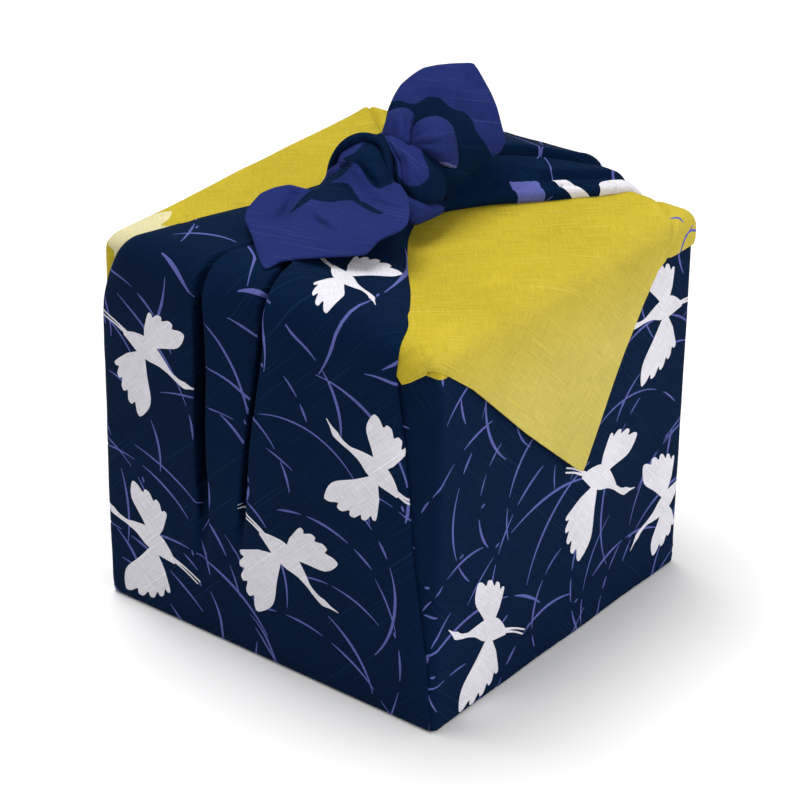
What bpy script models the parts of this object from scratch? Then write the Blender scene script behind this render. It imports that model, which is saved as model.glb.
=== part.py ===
"""A cube wrapped in one square cloth, tied on top with a square knot.

The cloth is one piece, so it is one closed solid. A rounded cube gives the wrapped form, and
every layer of cloth that lies or hangs on it is lofted on the cube's faces and joined to it:
a flap over the top whose corner hangs down the right side, a pleated panel up the front and
another up the back, the square knot that they are tied in, and the knot's two free corners.

Metres, +Z up. The origin is the middle of the flat base. -Y is the front, with the pleated
panel, and +X is the side that the flap's corner hangs down.
"""
import math
from collections import namedtuple

import bmesh
import bpy
from mathutils import Matrix, Vector

# --- Driving dimensions -----------------------------------------------------------------------
WIDTH = 0.165            # the wrapped cube, over its cloth
HEIGHT = 0.162
EDGE_RADIUS = 0.006      # how round the cloth makes the cube's top edges
UPRIGHT_RADIUS = 0.0025  # its upright edges, where the cloth is pulled tight
BASE_RADIUS = 0.0015     # and the edges that it stands on
SHEET = 0.002            # thickness of a free layer of cloth with its hem
ROOT_DEPTH = 0.004       # how far a lofted layer reaches into the cube, to be one with it
HALF = WIDTH / 2

PART_NAME = "furoshiki_cloth"
NAVY = (0.010, 0.026, 0.055, 1.0)
CLOTH_ROUGHNESS = 0.85
SHARP_ANGLE = math.radians(40)    # faces that meet at more than this are shaded as a crease

# A panel climbs a side face and runs on over the top to the knot. "up" is the distance from
# the base edge, as if the top edge were sharp; left and right are its folded edges; "rise" is
# how far its surface stands off the cube at the folds, and "crown" how much more in its middle.
PanelRow = namedtuple("PanelRow", "up left right rise crown")

FRONT_PANEL = (
    PanelRow(0.004, -0.0812, 0.0812, -0.0008, 0.0000),
    PanelRow(0.030, -0.0815, 0.0780, 0.0010, 0.0004),
    PanelRow(0.074, -0.0815, 0.0706, 0.0014, 0.0014),
    PanelRow(0.120, -0.0815, 0.0662, 0.0018, 0.0024),
    PanelRow(0.145, -0.0812, 0.0618, 0.0020, 0.0032),
    PanelRow(0.160, -0.0785, 0.0622, 0.0020, 0.0038),
    PanelRow(0.170, -0.0690, 0.0590, 0.0018, 0.0046),
    PanelRow(0.182, -0.0630, 0.0510, 0.0018, 0.0060),
    PanelRow(0.196, -0.0570, 0.0405, 0.0018, 0.0084),
    PanelRow(0.210, -0.0480, 0.0280, 0.0020, 0.0120),
    PanelRow(0.222, -0.0400, 0.0190, 0.0024, 0.0160),
    PanelRow(0.232, -0.0330, 0.0140, 0.0030, 0.0185),
)

BACK_PANEL = (
    PanelRow(0.004, -0.0812, 0.0812, -0.0008, 0.0000),
    PanelRow(0.030, -0.0780, 0.0780, 0.0010, 0.0004),
    PanelRow(0.074, -0.0715, 0.0725, 0.0014, 0.0010),
    PanelRow(0.120, -0.0645, 0.0690, 0.0018, 0.0018),
    PanelRow(0.145, -0.0600, 0.0665, 0.0022, 0.0036),
    PanelRow(0.160, -0.0560, 0.0645, 0.0028, 0.0056),
    PanelRow(0.172, -0.0495, 0.0600, 0.0034, 0.0080),
    PanelRow(0.186, -0.0400, 0.0500, 0.0038, 0.0106),
    PanelRow(0.200, -0.0290, 0.0385, 0.0040, 0.0128),
    PanelRow(0.214, -0.0180, 0.0285, 0.0040, 0.0150),
    PanelRow(0.228, -0.0120, 0.0210, 0.0040, 0.0170),
)
PANEL_FULLNESS = 0.6        # below 1, a panel rises steeply from its folds and is flat in between
FOLD_SHARE = 0.06           # how much of a panel's width its folded edge takes, with no pleat in it
FOOT_END = 0.06             # up to here a panel may lie flush with the cube
LEAST_STAND = 0.0007        # above it, the least that it stands off the cube

# A pleat is a furrow that runs down from the knot. It lies at "at_knot" there, at "at_edge"
# where it passes the cube's top edge and at "at_foot" where it fades out, at the height "foot".
Pleat = namedtuple("Pleat", "at_knot at_edge at_foot foot width depth")

FRONT_PLEATS = (
    Pleat(-0.0150, -0.0600, -0.0610, 0.105, 0.0050, 0.0012),
    Pleat(-0.0080, -0.0325, -0.0400, 0.068, 0.0046, 0.0030),
    Pleat(-0.0010, 0.0000, -0.0125, 0.080, 0.0036, 0.0028),
    Pleat(0.0070, 0.0300, 0.0330, 0.120, 0.0060, 0.0010),
)
BACK_PLEATS = (
    Pleat(-0.0090, -0.0440, -0.0480, 0.090, 0.0044, 0.0022),
    Pleat(-0.0030, -0.0140, -0.0130, 0.070, 0.0044, 0.0028),
    Pleat(0.0050, 0.0200, 0.0260, 0.075, 0.0044, 0.0028),
    Pleat(0.0120, 0.0430, 0.0500, 0.100, 0.0036, 0.0024),
)
PLEAT_EASE = 0.02           # a furrow is at its full depth this far below the top edge
PLEAT_DEEPENS = 0.3         # how much deeper it is at the knot, as a share
ROLL_ASIDE = 1.6            # where the rolled fold beside a furrow lies, in widths of the furrow
ROLL_HEIGHT = 0.45          # its height, as a share of the furrow's depth

# The flap over the top. "along" runs from the left side's top edge across the top, and on down
# the right side, as if that edge were sharp; left and right are its hems, along Y.
FlapRow = namedtuple("FlapRow", "along left right rise gap")

FLAP = (
    FlapRow(0.004, -0.0790, 0.0790, 0.0004, -0.0030),
    FlapRow(0.040, -0.0795, 0.0795, 0.0012, -0.0030),
    FlapRow(0.150, -0.0795, 0.0795, 0.0014, -0.0030),
    FlapRow(0.165, -0.0790, 0.0795, 0.0018, -0.0030),
    FlapRow(0.172, -0.0770, 0.0790, 0.0020, -0.0020),
    FlapRow(0.178, -0.0705, 0.0770, 0.0022, -0.0012),
    FlapRow(0.1805, -0.0680, 0.0580, 0.0024, -0.0008),
    FlapRow(0.190, -0.0570, 0.0460, 0.0028, 0.0004),
    FlapRow(0.215, -0.0320, 0.0285, 0.0036, 0.0016),
    FlapRow(0.247, 0.0045, 0.0072, 0.0042, 0.0022),
)

# Where the flap's hem is turned round a corner of the cube: the rounded fold's lowest and highest
# corners.
HemTurn = namedtuple("HemTurn", "name low high")

HEM_TURNS = (
    HemTurn("front_right", (0.0600, -0.0846, 0.1495), (0.0838, -0.0700, 0.1636)),
    HemTurn("back_right", (0.0700, 0.0560, 0.1490), (0.0842, 0.0838, 0.1636)),
    HemTurn("front_left", (-0.0840, -0.0838, 0.1460), (-0.0720, -0.0740, 0.1634)),
)
HEM_ROUNDING = 0.4          # radius of such a fold, as a share of its thinnest side

# The knot's bands, each a flattened roll of cloth that bends over the other end's layers: the
# points of its middle line, and half its width and thickness there.
BandPoint = namedtuple("BandPoint", "x y z wide thick")

FRONT_BAND = (
    BandPoint(-0.0240, -0.0120, 0.1640, 0.0060, 0.0060),
    BandPoint(-0.0235, -0.0160, 0.1770, 0.0095, 0.0070),
    BandPoint(-0.0160, -0.0195, 0.1900, 0.0120, 0.0080),
    BandPoint(-0.0040, -0.0210, 0.1955, 0.0130, 0.0085),
    BandPoint(0.0070, -0.0190, 0.1890, 0.0125, 0.0080),
    BandPoint(0.0110, -0.0160, 0.1770, 0.0100, 0.0070),
    BandPoint(0.0110, -0.0120, 0.1640, 0.0060, 0.0060),
)
BACK_BAND = (
    BandPoint(-0.0260, 0.0040, 0.1640, 0.0070, 0.0060),
    BandPoint(-0.0240, 0.0000, 0.1790, 0.0100, 0.0075),
    BandPoint(-0.0130, -0.0050, 0.1915, 0.0110, 0.0085),
    BandPoint(0.0020, -0.0075, 0.1935, 0.0110, 0.0085),
    BandPoint(0.0140, -0.0065, 0.1885, 0.0105, 0.0085),
    BandPoint(0.0185, -0.0040, 0.1780, 0.0090, 0.0075),
    BandPoint(0.0130, -0.0010, 0.1640, 0.0070, 0.0060),
)
BAND_MIDDLE_X = -0.0040     # the bands bend round a line through here, along the top of the cube
BAND_RIDGES = 3             # soft ridges round a band
RIDGE_HEIGHT = 0.06         # as a share of its half width

# Puffed folds of the back end as it leaves the knot: centre and half sizes.
Puff = namedtuple("Puff", "name x y z half_x half_y half_z")

PUFFS = (
    Puff("knot_heart", -0.0025, -0.0055, 0.1770, 0.0235, 0.0190, 0.0145),
    Puff("left_puff", -0.0100, 0.0100, 0.1910, 0.0075, 0.0110, 0.0110),
    Puff("right_puff", 0.0060, 0.0110, 0.1900, 0.0110, 0.0115, 0.0125),
)

# The free corners. Rows run from the knot to the tip, which is "out" towards the front; left and
# right are the hems, "lift" is the height of the middle, and "curl" how much higher the two hems
# lie.
FrontCornerRow = namedtuple("FrontCornerRow", "out left right lift curl")

FRONT_CORNER = (
    FrontCornerRow(0.0170, -0.0095, 0.0140, 0.1862, 0.0000),
    FrontCornerRow(0.0260, -0.0185, 0.0225, 0.1846, -0.0010),
    FrontCornerRow(0.0340, -0.0258, 0.0280, 0.1830, -0.0016),
    FrontCornerRow(0.0400, -0.0316, 0.0298, 0.1816, -0.0018),
    FrontCornerRow(0.0480, -0.0338, 0.0267, 0.1796, -0.0016),
    FrontCornerRow(0.0560, -0.0322, 0.0234, 0.1774, -0.0012),
    FrontCornerRow(0.0640, -0.0240, 0.0172, 0.1754, -0.0008),
    FrontCornerRow(0.0730, -0.0115, 0.0075, 0.1733, -0.0004),
    FrontCornerRow(0.0820, -0.0015, 0.0010, 0.1714, 0.0000),
)

# The back corner stands up behind the knot. Its own plane has its foot at BACK_CORNER_FOOT,
# turned about Z by BACK_CORNER_TURN and leaning back by BACK_CORNER_LEAN.
BackCornerRow = namedtuple("BackCornerRow", "up left right belly")

BACK_CORNER_FOOT = (0.0020, 0.0100, 0.1840)
BACK_CORNER_TURN = math.radians(50)
BACK_CORNER_LEAN = math.radians(32)
BACK_CORNER = (
    BackCornerRow(-0.0100, 0.0040, 0.0200, 0.0020),
    BackCornerRow(0.0000, -0.0010, 0.0270, 0.0030),
    BackCornerRow(0.0060, -0.0060, 0.0315, 0.0030),
    BackCornerRow(0.0125, -0.0100, 0.0337, 0.0026),
    BackCornerRow(0.0187, -0.0121, 0.0330, 0.0020),
    BackCornerRow(0.0269, -0.0105, 0.0305, 0.0014),
    BackCornerRow(0.0316, -0.0068, 0.0288, 0.0010),
    BackCornerRow(0.0367, 0.0012, 0.0262, 0.0004),
    BackCornerRow(0.0384, 0.0100, 0.0240, 0.0000),
)

# Faces across and along each lofted layer.
PANEL_GRID = (52, 34)
BACK_GRID = (44, 28)
FLAP_GRID = (20, 26)
CORNER_GRID = (12, 12)
BAND_SIDES = 14
BAND_STEPS = 16
PUFF_GRID = (16, 10)
CUBE_EDGE_STEPS = 4
HEM_EDGE_STEPS = 3


# --- Small tools ------------------------------------------------------------------------------
def clear_scene():
    for thing in list(bpy.data.objects):
        bpy.data.objects.remove(thing, do_unlink=True)


def new_collection(name):
    collection = bpy.data.collections.new(name)
    bpy.context.scene.collection.children.link(collection)
    return collection


def cloth_material():
    material = bpy.data.materials.new("navy_cotton")
    material.use_nodes = True
    shader = material.node_tree.nodes["Principled BSDF"]
    shader.inputs["Base Color"].default_value = NAVY
    shader.inputs["Roughness"].default_value = CLOTH_ROUGHNESS
    shader.inputs["Metallic"].default_value = 0.0
    return material


def read_row(table, column, key, value):
    """The value in "column" where the table's "key" column reaches value, between its rows."""
    previous = table[0]
    if value <= getattr(previous, key):
        return getattr(previous, column)
    for row in table[1:]:
        low, high = getattr(previous, key), getattr(row, key)
        if value <= high:
            share = (value - low) / (high - low)
            return getattr(previous, column) * (1 - share) + getattr(row, column) * share
        previous = row
    return getattr(previous, column)


def blend(low, high, value):
    """0 below low, 1 above high, and a soft step between them."""
    share = min(1.0, max(0.0, (value - low) / (high - low)))
    return share * share * (3 - 2 * share)


def corner_drop(across):
    """How far the cube's rounded upright edge falls back from its face."""
    past = abs(across) - (HALF - UPRIGHT_RADIUS)
    if past <= 0:
        return 0.0
    return UPRIGHT_RADIUS - math.sqrt(UPRIGHT_RADIUS ** 2 - past ** 2)


def over_edge(distance, edge_at):
    """A path that climbs a face and turns over its edge.

    Returns how far it has come past the face (inwards), its height below or above the edge's
    own height and the outward direction, as (in, up, out_in, out_up).
    """
    start, end = edge_at - EDGE_RADIUS, edge_at + EDGE_RADIUS
    if distance <= start:
        return 0.0, distance - edge_at, -1.0, 0.0
    if distance >= end:
        return distance - edge_at, 0.0, 0.0, 1.0
    angle = (distance - start) / (end - start) * math.pi / 2
    inward = EDGE_RADIUS * (1 - math.cos(angle))
    upward = EDGE_RADIUS * math.sin(angle) - EDGE_RADIUS
    return inward, upward, -math.cos(angle), math.sin(angle)


def add_grid(mesh, rows):
    """Adds the points of a grid and its faces, and returns the points, row by row."""
    points = [[mesh.verts.new(place) for place in row] for row in rows]
    for below, above in zip(points, points[1:]):
        for left in range(len(below) - 1):
            mesh.faces.new((below[left], below[left + 1], above[left + 1], above[left]))
    return points


def finish_mesh(name, mesh, collection):
    bmesh.ops.recalc_face_normals(mesh, faces=mesh.faces[:])
    data = bpy.data.meshes.new(name)
    mesh.to_mesh(data)
    mesh.free()
    thing = bpy.data.objects.new(name, data)
    collection.objects.link(thing)
    return thing


def loft_layer(name, outer, inner, collection):
    """A closed layer between an outer grid and an inner grid of the same size."""
    mesh = bmesh.new()
    top = add_grid(mesh, outer)
    under = add_grid(mesh, inner)
    rims = (
        (top[0], under[0]),
        (top[-1], under[-1]),
        ([row[0] for row in top], [row[0] for row in under]),
        ([row[-1] for row in top], [row[-1] for row in under]),
    )
    for high, low in rims:
        for index in range(len(high) - 1):
            mesh.faces.new((high[index], high[index + 1], low[index + 1], low[index]))
    return finish_mesh(name, mesh, collection)


def thin_sheet(name, rows, collection):
    """A sheet of even thickness about a grid of points."""
    mesh = bmesh.new()
    add_grid(mesh, rows)
    thing = finish_mesh(name, mesh, collection)
    solidify = thing.modifiers.new("thickness", "SOLIDIFY")
    solidify.thickness = SHEET
    solidify.offset = 0.0
    return thing


# --- The wrapped cube -------------------------------------------------------------------------
def wrapped_cube(collection):
    mesh = bmesh.new()
    bmesh.ops.create_cube(mesh, size=1.0)
    size = Matrix.Diagonal((WIDTH, WIDTH, HEIGHT, 1.0))
    bmesh.ops.transform(mesh, matrix=Matrix.Translation((0, 0, HEIGHT / 2)) @ size, verts=mesh.verts[:])
    cube = finish_mesh(PART_NAME, mesh, collection)
    roundness = cube.data.attributes.new("bevel_weight_edge", "FLOAT", "EDGE")
    for edge, share in zip(cube.data.edges, roundness.data):
        ends = [cube.data.vertices[index].co.z for index in edge.vertices]
        at_top = min(ends) > HEIGHT / 2
        at_base = max(ends) < HEIGHT / 2
        radius = EDGE_RADIUS if at_top else BASE_RADIUS if at_base else UPRIGHT_RADIUS
        share.value = radius / EDGE_RADIUS
    bevel = cube.modifiers.new("cloth_round_edges", "BEVEL")
    bevel.limit_method = "WEIGHT"
    bevel.width = EDGE_RADIUS
    bevel.segments = CUBE_EDGE_STEPS
    return cube


# --- Pleated panels ---------------------------------------------------------------------------
def pleat_relief(pleats, across, up, knot_at):
    """Depth of the pleats' furrows at a place on a panel, with the rolled fold beside each."""
    relief = 0.0
    for pleat in pleats:
        if up < HEIGHT:
            share = max(0.0, (up - pleat.foot) / (HEIGHT - pleat.foot))
            middle = pleat.at_foot + (pleat.at_edge - pleat.at_foot) * share
            strength = blend(pleat.foot, HEIGHT - PLEAT_EASE, up)
        else:
            share = min(1.0, (up - HEIGHT) / (knot_at - HEIGHT))
            middle = pleat.at_edge + (pleat.at_knot - pleat.at_edge) * share
            strength = 1.0 + PLEAT_DEEPENS * share
        furrow = math.exp(-((across - middle) / pleat.width) ** 2)
        roll = math.exp(-((across - middle) / pleat.width - ROLL_ASIDE) ** 2)
        relief += strength * pleat.depth * (ROLL_HEIGHT * roll - furrow)
    return relief


def panel_point(side, across, up, depth):
    """A point of a panel; side is -1 on the front and +1 on the back."""
    inward, upward, out_in, out_up = over_edge(up, HEIGHT)
    stand = depth - corner_drop(across)
    y = HALF - inward - out_in * stand
    z = HEIGHT + upward + out_up * stand
    return Vector((-side * across, side * y, z))


def tied_panel(name, table, pleats, side, grid, collection):
    columns, steps = grid
    low, high = table[0].up, table[-1].up
    outer, inner = [], []
    for step in range(steps + 1):
        up = low + (high - low) * step / steps
        row = {key: read_row(table, key, "up", up) for key in ("left", "right", "rise", "crown")}
        outer_row, inner_row = [], []
        for column in range(columns + 1):
            share = column / columns
            across = row["left"] + (row["right"] - row["left"]) * share
            swell = row["crown"] * math.sin(math.pi * share) ** PANEL_FULLNESS
            edge_fade = blend(0.0, FOLD_SHARE, min(share, 1 - share))
            relief = edge_fade * pleat_relief(pleats, across, up, high)
            stand = row["rise"] + swell + relief
            if up > FOOT_END:
                stand = max(stand, LEAST_STAND)
            outer_row.append(panel_point(side, across, up, stand))
            hidden = max(-HALF + ROOT_DEPTH, min(HALF - ROOT_DEPTH, across))
            inner_row.append(panel_point(side, hidden, up, -ROOT_DEPTH))
        outer.append(outer_row)
        inner.append(inner_row)
    return loft_layer(name, outer, inner, collection)


# --- The flap over the top --------------------------------------------------------------------
def flap_point(along, across, depth):
    """A point of the flap, which crosses the top to the right side's edge and goes down it."""
    inward, upward, out_in, out_up = over_edge(2 * WIDTH - along, WIDTH)
    x = HALF - inward - out_in * depth
    z = HEIGHT + upward + out_up * depth
    return Vector((x, across, z))


def top_flap(collection):
    columns, steps = FLAP_GRID
    low, high = FLAP[0].along, FLAP[-1].along
    outer, inner = [], []
    for step in range(steps + 1):
        along = low + (high - low) * step / steps
        row = {key: read_row(FLAP, key, "along", along) for key in ("left", "right", "rise", "gap")}
        places = [row["left"] + (row["right"] - row["left"]) * n / columns for n in range(columns + 1)]
        outer.append([flap_point(along, place, row["rise"]) for place in places])
        inner.append([flap_point(along, place, row["gap"]) for place in places])
    return loft_layer("top_flap", outer, inner, collection)


def hem_turn(turn, collection):
    """The flap's hem, folded round a corner of the cube."""
    low, high = Vector(turn.low), Vector(turn.high)
    size = high - low
    mesh = bmesh.new()
    bmesh.ops.create_cube(mesh, size=1.0)
    place = Matrix.Translation((low + high) / 2) @ Matrix.Diagonal((*size, 1.0))
    bmesh.ops.transform(mesh, matrix=place, verts=mesh.verts[:])
    thing = finish_mesh("hem_" + turn.name, mesh, collection)
    bevel = thing.modifiers.new("rolled_fold", "BEVEL")
    bevel.width = min(size) * HEM_ROUNDING
    bevel.segments = HEM_EDGE_STEPS
    return thing


# --- The knot ---------------------------------------------------------------------------------
def band(name, table, collection):
    """A flattened roll of cloth swept along the table's middle line."""
    outline = []
    for step in range(BAND_STEPS + 1):
        place = step / BAND_STEPS * (len(table) - 1)
        index = min(int(place), len(table) - 2)
        share = place - index
        before = table[max(index - 1, 0)]
        start, end = table[index], table[index + 1]
        after = table[min(index + 2, len(table) - 1)]
        values = []
        for a, b, c, d in zip(before, start, end, after):
            values.append(0.5 * (2 * b + (c - a) * share + (2 * a - 5 * b + 4 * c - d) * share ** 2
                                 + (3 * b - a - 3 * c + d) * share ** 3))
        outline.append(BandPoint(*values))
    mesh = bmesh.new()
    rings = []
    for index, point in enumerate(outline):
        ahead = outline[min(index + 1, BAND_STEPS)]
        behind = outline[max(index - 1, 0)]
        run = Vector((ahead.x - behind.x, ahead.y - behind.y, ahead.z - behind.z)).normalized()
        outward = Vector((point.x - BAND_MIDDLE_X, 0.0, point.z - HEIGHT))
        sideways = run.cross(outward).normalized()
        outward = sideways.cross(run).normalized()
        centre = Vector((point.x, point.y, point.z))
        ring = []
        for side in range(BAND_SIDES):
            angle = 2 * math.pi * side / BAND_SIDES
            ridge = 1.0 + RIDGE_HEIGHT * math.cos(BAND_RIDGES * angle)
            ring.append(mesh.verts.new(centre + sideways * point.wide * math.cos(angle) * ridge
                                       + outward * point.thick * math.sin(angle)))
        rings.append(ring)
    for first, second in zip(rings, rings[1:]):
        for side in range(BAND_SIDES):
            after = (side + 1) % BAND_SIDES
            mesh.faces.new((first[side], first[after], second[after], second[side]))
    mesh.faces.new(rings[0])
    mesh.faces.new(rings[-1])
    return finish_mesh(name, mesh, collection)


def puff(shape, collection):
    """A rounded fold of cloth pushed out of the knot."""
    mesh = bmesh.new()
    segments, rings = PUFF_GRID
    bmesh.ops.create_uvsphere(mesh, u_segments=segments, v_segments=rings, radius=1.0)
    size = Matrix.Diagonal((shape.half_x, shape.half_y, shape.half_z, 1.0))
    place = Matrix.Translation((shape.x, shape.y, shape.z))
    bmesh.ops.transform(mesh, matrix=place @ size, verts=mesh.verts[:])
    return finish_mesh(shape.name, mesh, collection)


# --- The free corners -------------------------------------------------------------------------
def front_corner(collection):
    columns, steps = CORNER_GRID
    low, high = FRONT_CORNER[0].out, FRONT_CORNER[-1].out
    rows = []
    for step in range(steps + 1):
        out = low + (high - low) * step / steps
        row = {key: read_row(FRONT_CORNER, key, "out", out) for key in ("left", "right", "lift", "curl")}
        points = []
        for column in range(columns + 1):
            share = column / columns
            x = row["left"] + (row["right"] - row["left"]) * share
            z = row["lift"] + row["curl"] * (2 * share - 1) ** 2
            points.append(Vector((x, -out, z)))
        rows.append(points)
    return thin_sheet("front_corner", rows, collection)


def back_corner(collection):
    columns, steps = CORNER_GRID
    low, high = BACK_CORNER[0].up, BACK_CORNER[-1].up
    turn = Matrix.Rotation(BACK_CORNER_TURN, 4, "Z") @ Matrix.Rotation(-BACK_CORNER_LEAN, 4, "X")
    frame = Matrix.Translation(BACK_CORNER_FOOT) @ turn
    rows = []
    for step in range(steps + 1):
        up = low + (high - low) * step / steps
        row = {key: read_row(BACK_CORNER, key, "up", up) for key in ("left", "right", "belly")}
        points = []
        for column in range(columns + 1):
            share = column / columns
            across = row["left"] + (row["right"] - row["left"]) * share
            belly = row["belly"] * (1 - (2 * share - 1) ** 2)
            points.append(frame @ Vector((across, -belly, up)))
        rows.append(points)
    return thin_sheet("back_corner", rows, collection)


# --- The whole cloth --------------------------------------------------------------------------
def join(target, layer):
    layer.hide_render = True
    layer.display_type = "WIRE"
    union = target.modifiers.new("join_" + layer.name, "BOOLEAN")
    union.operation = "UNION"
    union.solver = "EXACT"
    union.object = layer


def build():
    clear_scene()
    part = new_collection("furoshiki_wrap")
    layers = new_collection("cloth_layers")
    cloth = wrapped_cube(part)
    cloth.data.materials.append(cloth_material())
    join(cloth, top_flap(layers))
    for turn in HEM_TURNS:
        join(cloth, hem_turn(turn, layers))
    join(cloth, tied_panel("front_panel", FRONT_PANEL, FRONT_PLEATS, -1, PANEL_GRID, layers))
    join(cloth, tied_panel("back_panel", BACK_PANEL, BACK_PLEATS, 1, BACK_GRID, layers))
    for shape in PUFFS:
        join(cloth, puff(shape, layers))
    join(cloth, band("front_band", FRONT_BAND, layers))
    join(cloth, band("back_band", BACK_BAND, layers))
    join(cloth, front_corner(layers))
    join(cloth, back_corner(layers))
    cloth.data.shade_smooth()
    cloth.data.set_sharp_from_angle(angle=SHARP_ANGLE)


build()
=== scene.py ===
"""The looks of a furoshiki wrap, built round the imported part's fixed frame.

The cloth is one printed square. Here each stretch of it that shows is a thin closed sheet:
the strip that runs round the cube and ends in the hanging flap, the two pleated panels, and
the folds and free corners of the knot. Every sheet is laid out flat first, in metres on the
square cloth, with the print's outlines cut into its mesh, and a "place" function then folds it.

On the flat cloth, X and Y start in the middle of the cube's base. The cloth's corners lie on
the two axes, so its threads run at 45 degrees to them. +X climbs the side that the flap hangs
down, -X goes round the other side and over the top, and -Y and +Y are the tied corners.
"""

import math
from collections import namedtuple

import bpy
import numpy as np
from mathutils import Matrix, Vector
from mathutils.geometry import delaunay_2d_cdt


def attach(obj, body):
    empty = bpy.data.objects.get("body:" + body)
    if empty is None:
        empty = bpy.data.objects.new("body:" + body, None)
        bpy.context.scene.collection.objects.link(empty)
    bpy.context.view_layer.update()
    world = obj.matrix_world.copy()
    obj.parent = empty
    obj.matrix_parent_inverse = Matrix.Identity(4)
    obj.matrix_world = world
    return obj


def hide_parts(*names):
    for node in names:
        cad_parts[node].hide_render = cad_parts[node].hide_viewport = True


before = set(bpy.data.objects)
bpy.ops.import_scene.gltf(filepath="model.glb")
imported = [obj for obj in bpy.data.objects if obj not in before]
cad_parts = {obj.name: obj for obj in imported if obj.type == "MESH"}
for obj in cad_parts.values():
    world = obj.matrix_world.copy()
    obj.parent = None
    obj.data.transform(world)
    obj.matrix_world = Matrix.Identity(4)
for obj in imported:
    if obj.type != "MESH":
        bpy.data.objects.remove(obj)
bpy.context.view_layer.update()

NODE = "furoshiki_cloth"
MM = 0.001

# --- Sizes, from the frame ---
FOOT_BAND = 0.010        # only the plain cube reaches this far up from the floor
solid_points = [point.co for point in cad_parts[NODE].data.vertices]
WIDTH = 2 * max(abs(co.x) for co in solid_points if co.z < FOOT_BAND)
HALF = WIDTH / 2
HEIGHT = WIDTH * 162 / 165
EDGE_RADIUS = 6 * MM                 # how round the cloth makes the cube's top edges
UPRIGHT_RADIUS = 2.5 * MM            # its upright edges, where it is pulled tight
BASE_RADIUS = 1.5 * MM               # and the edges that it stands on
SHEET = 0.7 * MM                     # the cloth's thickness
TOP_EDGE = HALF + HEIGHT             # on the flat cloth, where the cube's top edges lie
FAR_EDGE = TOP_EDGE + WIDTH          # and the edge that the flap hangs over

NAVY, LILAC, WHITE, YELLOW, VIOLET, CREAM = range(6)
INKS = 6


# --- Small tools ---
def smooth(low, high, value):
    """0 below low, 1 above high, and a soft step between them."""
    share = np.clip((value - low) / (high - low), 0, 1)
    return share * share * (3 - 2 * share)


def hump(value, width):
    return np.exp(-(value / width) ** 2)


def unit(vectors):
    return vectors / np.maximum(np.linalg.norm(vectors, axis=-1), 1e-12)[..., None]


def track(table, columns, lengths, softness=4 * MM, step=0.5 * MM):
    """Reads a table as smooth curves over its first column: {column: function}.

    Its first columns, as many as "lengths" says, are in millimetres, and the rest are shares.
    """
    scale = [MM] * lengths + [1] * (len(columns) - lengths)
    values = np.array(table).T * np.array(scale)[:, None]
    fine = np.arange(values[0][0] - 4 * softness, values[0][-1] + 4 * softness, step)
    reach = int(3 * softness / step)
    kernel = hump(np.arange(-reach, reach + 1) * step, softness)
    kernel /= kernel.sum()
    curves = {}
    for name, column in zip(columns, values):
        padded = np.pad(np.interp(fine, values[0], column), reach, mode="edge")
        soft = np.convolve(padded, kernel, mode="valid")
        curves[name] = lambda at, soft=soft: np.interp(at, fine, soft)
    return curves


def ripples(flat, seed, wavelength, height, waves=9):
    """Gentle unevenness: a few long waves in seeded directions."""
    random = np.random.default_rng(seed)
    total = np.zeros(len(flat))
    for _ in range(waves):
        turn = random.uniform(0, math.pi)
        length = wavelength * random.uniform(0.6, 1.7)
        phase = random.uniform(0, 2 * math.pi)
        way = flat[:, 0] * math.cos(turn) + flat[:, 1] * math.sin(turn)
        total += np.sin(2 * math.pi * way / length + phase)
    return height * total / math.sqrt(waves)


def crease_relief(flat, creases):
    """Height of the creases at each flat place. A crease runs straight between two places: its row
    holds X and Y of both, half its width, and its height, which is negative for a furrow."""
    total = np.zeros(len(flat))
    for row in creases:
        start, end, (wide, high) = np.array(row).reshape(3, 2) * MM
        length = np.linalg.norm(end - start)
        way = (end - start) / length
        share = (flat - start) @ way / length
        aside = (flat - start) @ np.array((-way[1], way[0]))
        fade = smooth(0.0, 0.25, share) * (1 - smooth(0.75, 1.0, share))
        total += high * fade * hump(aside, wide)
    return total


NARROW_CREASE = 2.0      # half a crease's width: a wider one needs no closer points


def along_creases(creases):
    """Points for the mesh of a sheet, close together across its narrow creases."""
    points = []
    for x0, y0, x1, y1, wide, _ in creases:
        if wide > NARROW_CREASE:
            continue
        start, run = np.array((x0, y0)), np.array((x1 - x0, y1 - y0))
        length = np.linalg.norm(run)
        way = run / length
        across = np.array((-way[1], way[0])) * wide
        for far in np.arange(0, length, 1.2):
            points.extend(start + way * far + across * aside for aside in np.linspace(-2, 2, 7))
    return np.array(points) * MM


def sides_of(outline):
    """The two ends of each side of a closed outline."""
    return zip(outline, np.roll(outline, -1, axis=0))


def inside(points, outline):
    """Which points lie inside a closed outline."""
    within = np.zeros(len(points), bool)
    x, y = points.T
    for (x0, y0), (x1, y1) in sides_of(outline):
        if y0 != y1:
            crosses = (y0 > y) != (y1 > y)
            within ^= crosses & (x < x0 + (y - y0) / (y1 - y0) * (x1 - x0))
    return within


def resample(outline, spacing):
    """Points at even steps round a closed outline, its own corners among them."""
    points = []
    for start, end in sides_of(outline):
        steps = max(1, int(round(np.linalg.norm(end - start) / spacing)))
        points.extend(start + (end - start) * n / steps for n in range(steps))
    return np.array(points)


def edge_distance(points, outline):
    """How far each point is from a closed outline."""
    nearest = np.full(len(points), np.inf)
    for start, end in sides_of(outline):
        run = end - start
        share = np.clip((points - start) @ run / max(run @ run, 1e-12), 0, 1)
        apart = np.linalg.norm(points - start - share[:, None] * run, axis=1)
        nearest = np.minimum(nearest, apart)
    return nearest


def bend(a, b, c, d, share):
    """A share of the way from b to c, on a smooth curve through all four."""
    return 0.5 * (2 * b + (c - a) * share + (2 * a - 5 * b + 4 * c - d) * share ** 2
                  + (3 * b - a - 3 * c + d) * share ** 3)


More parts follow.
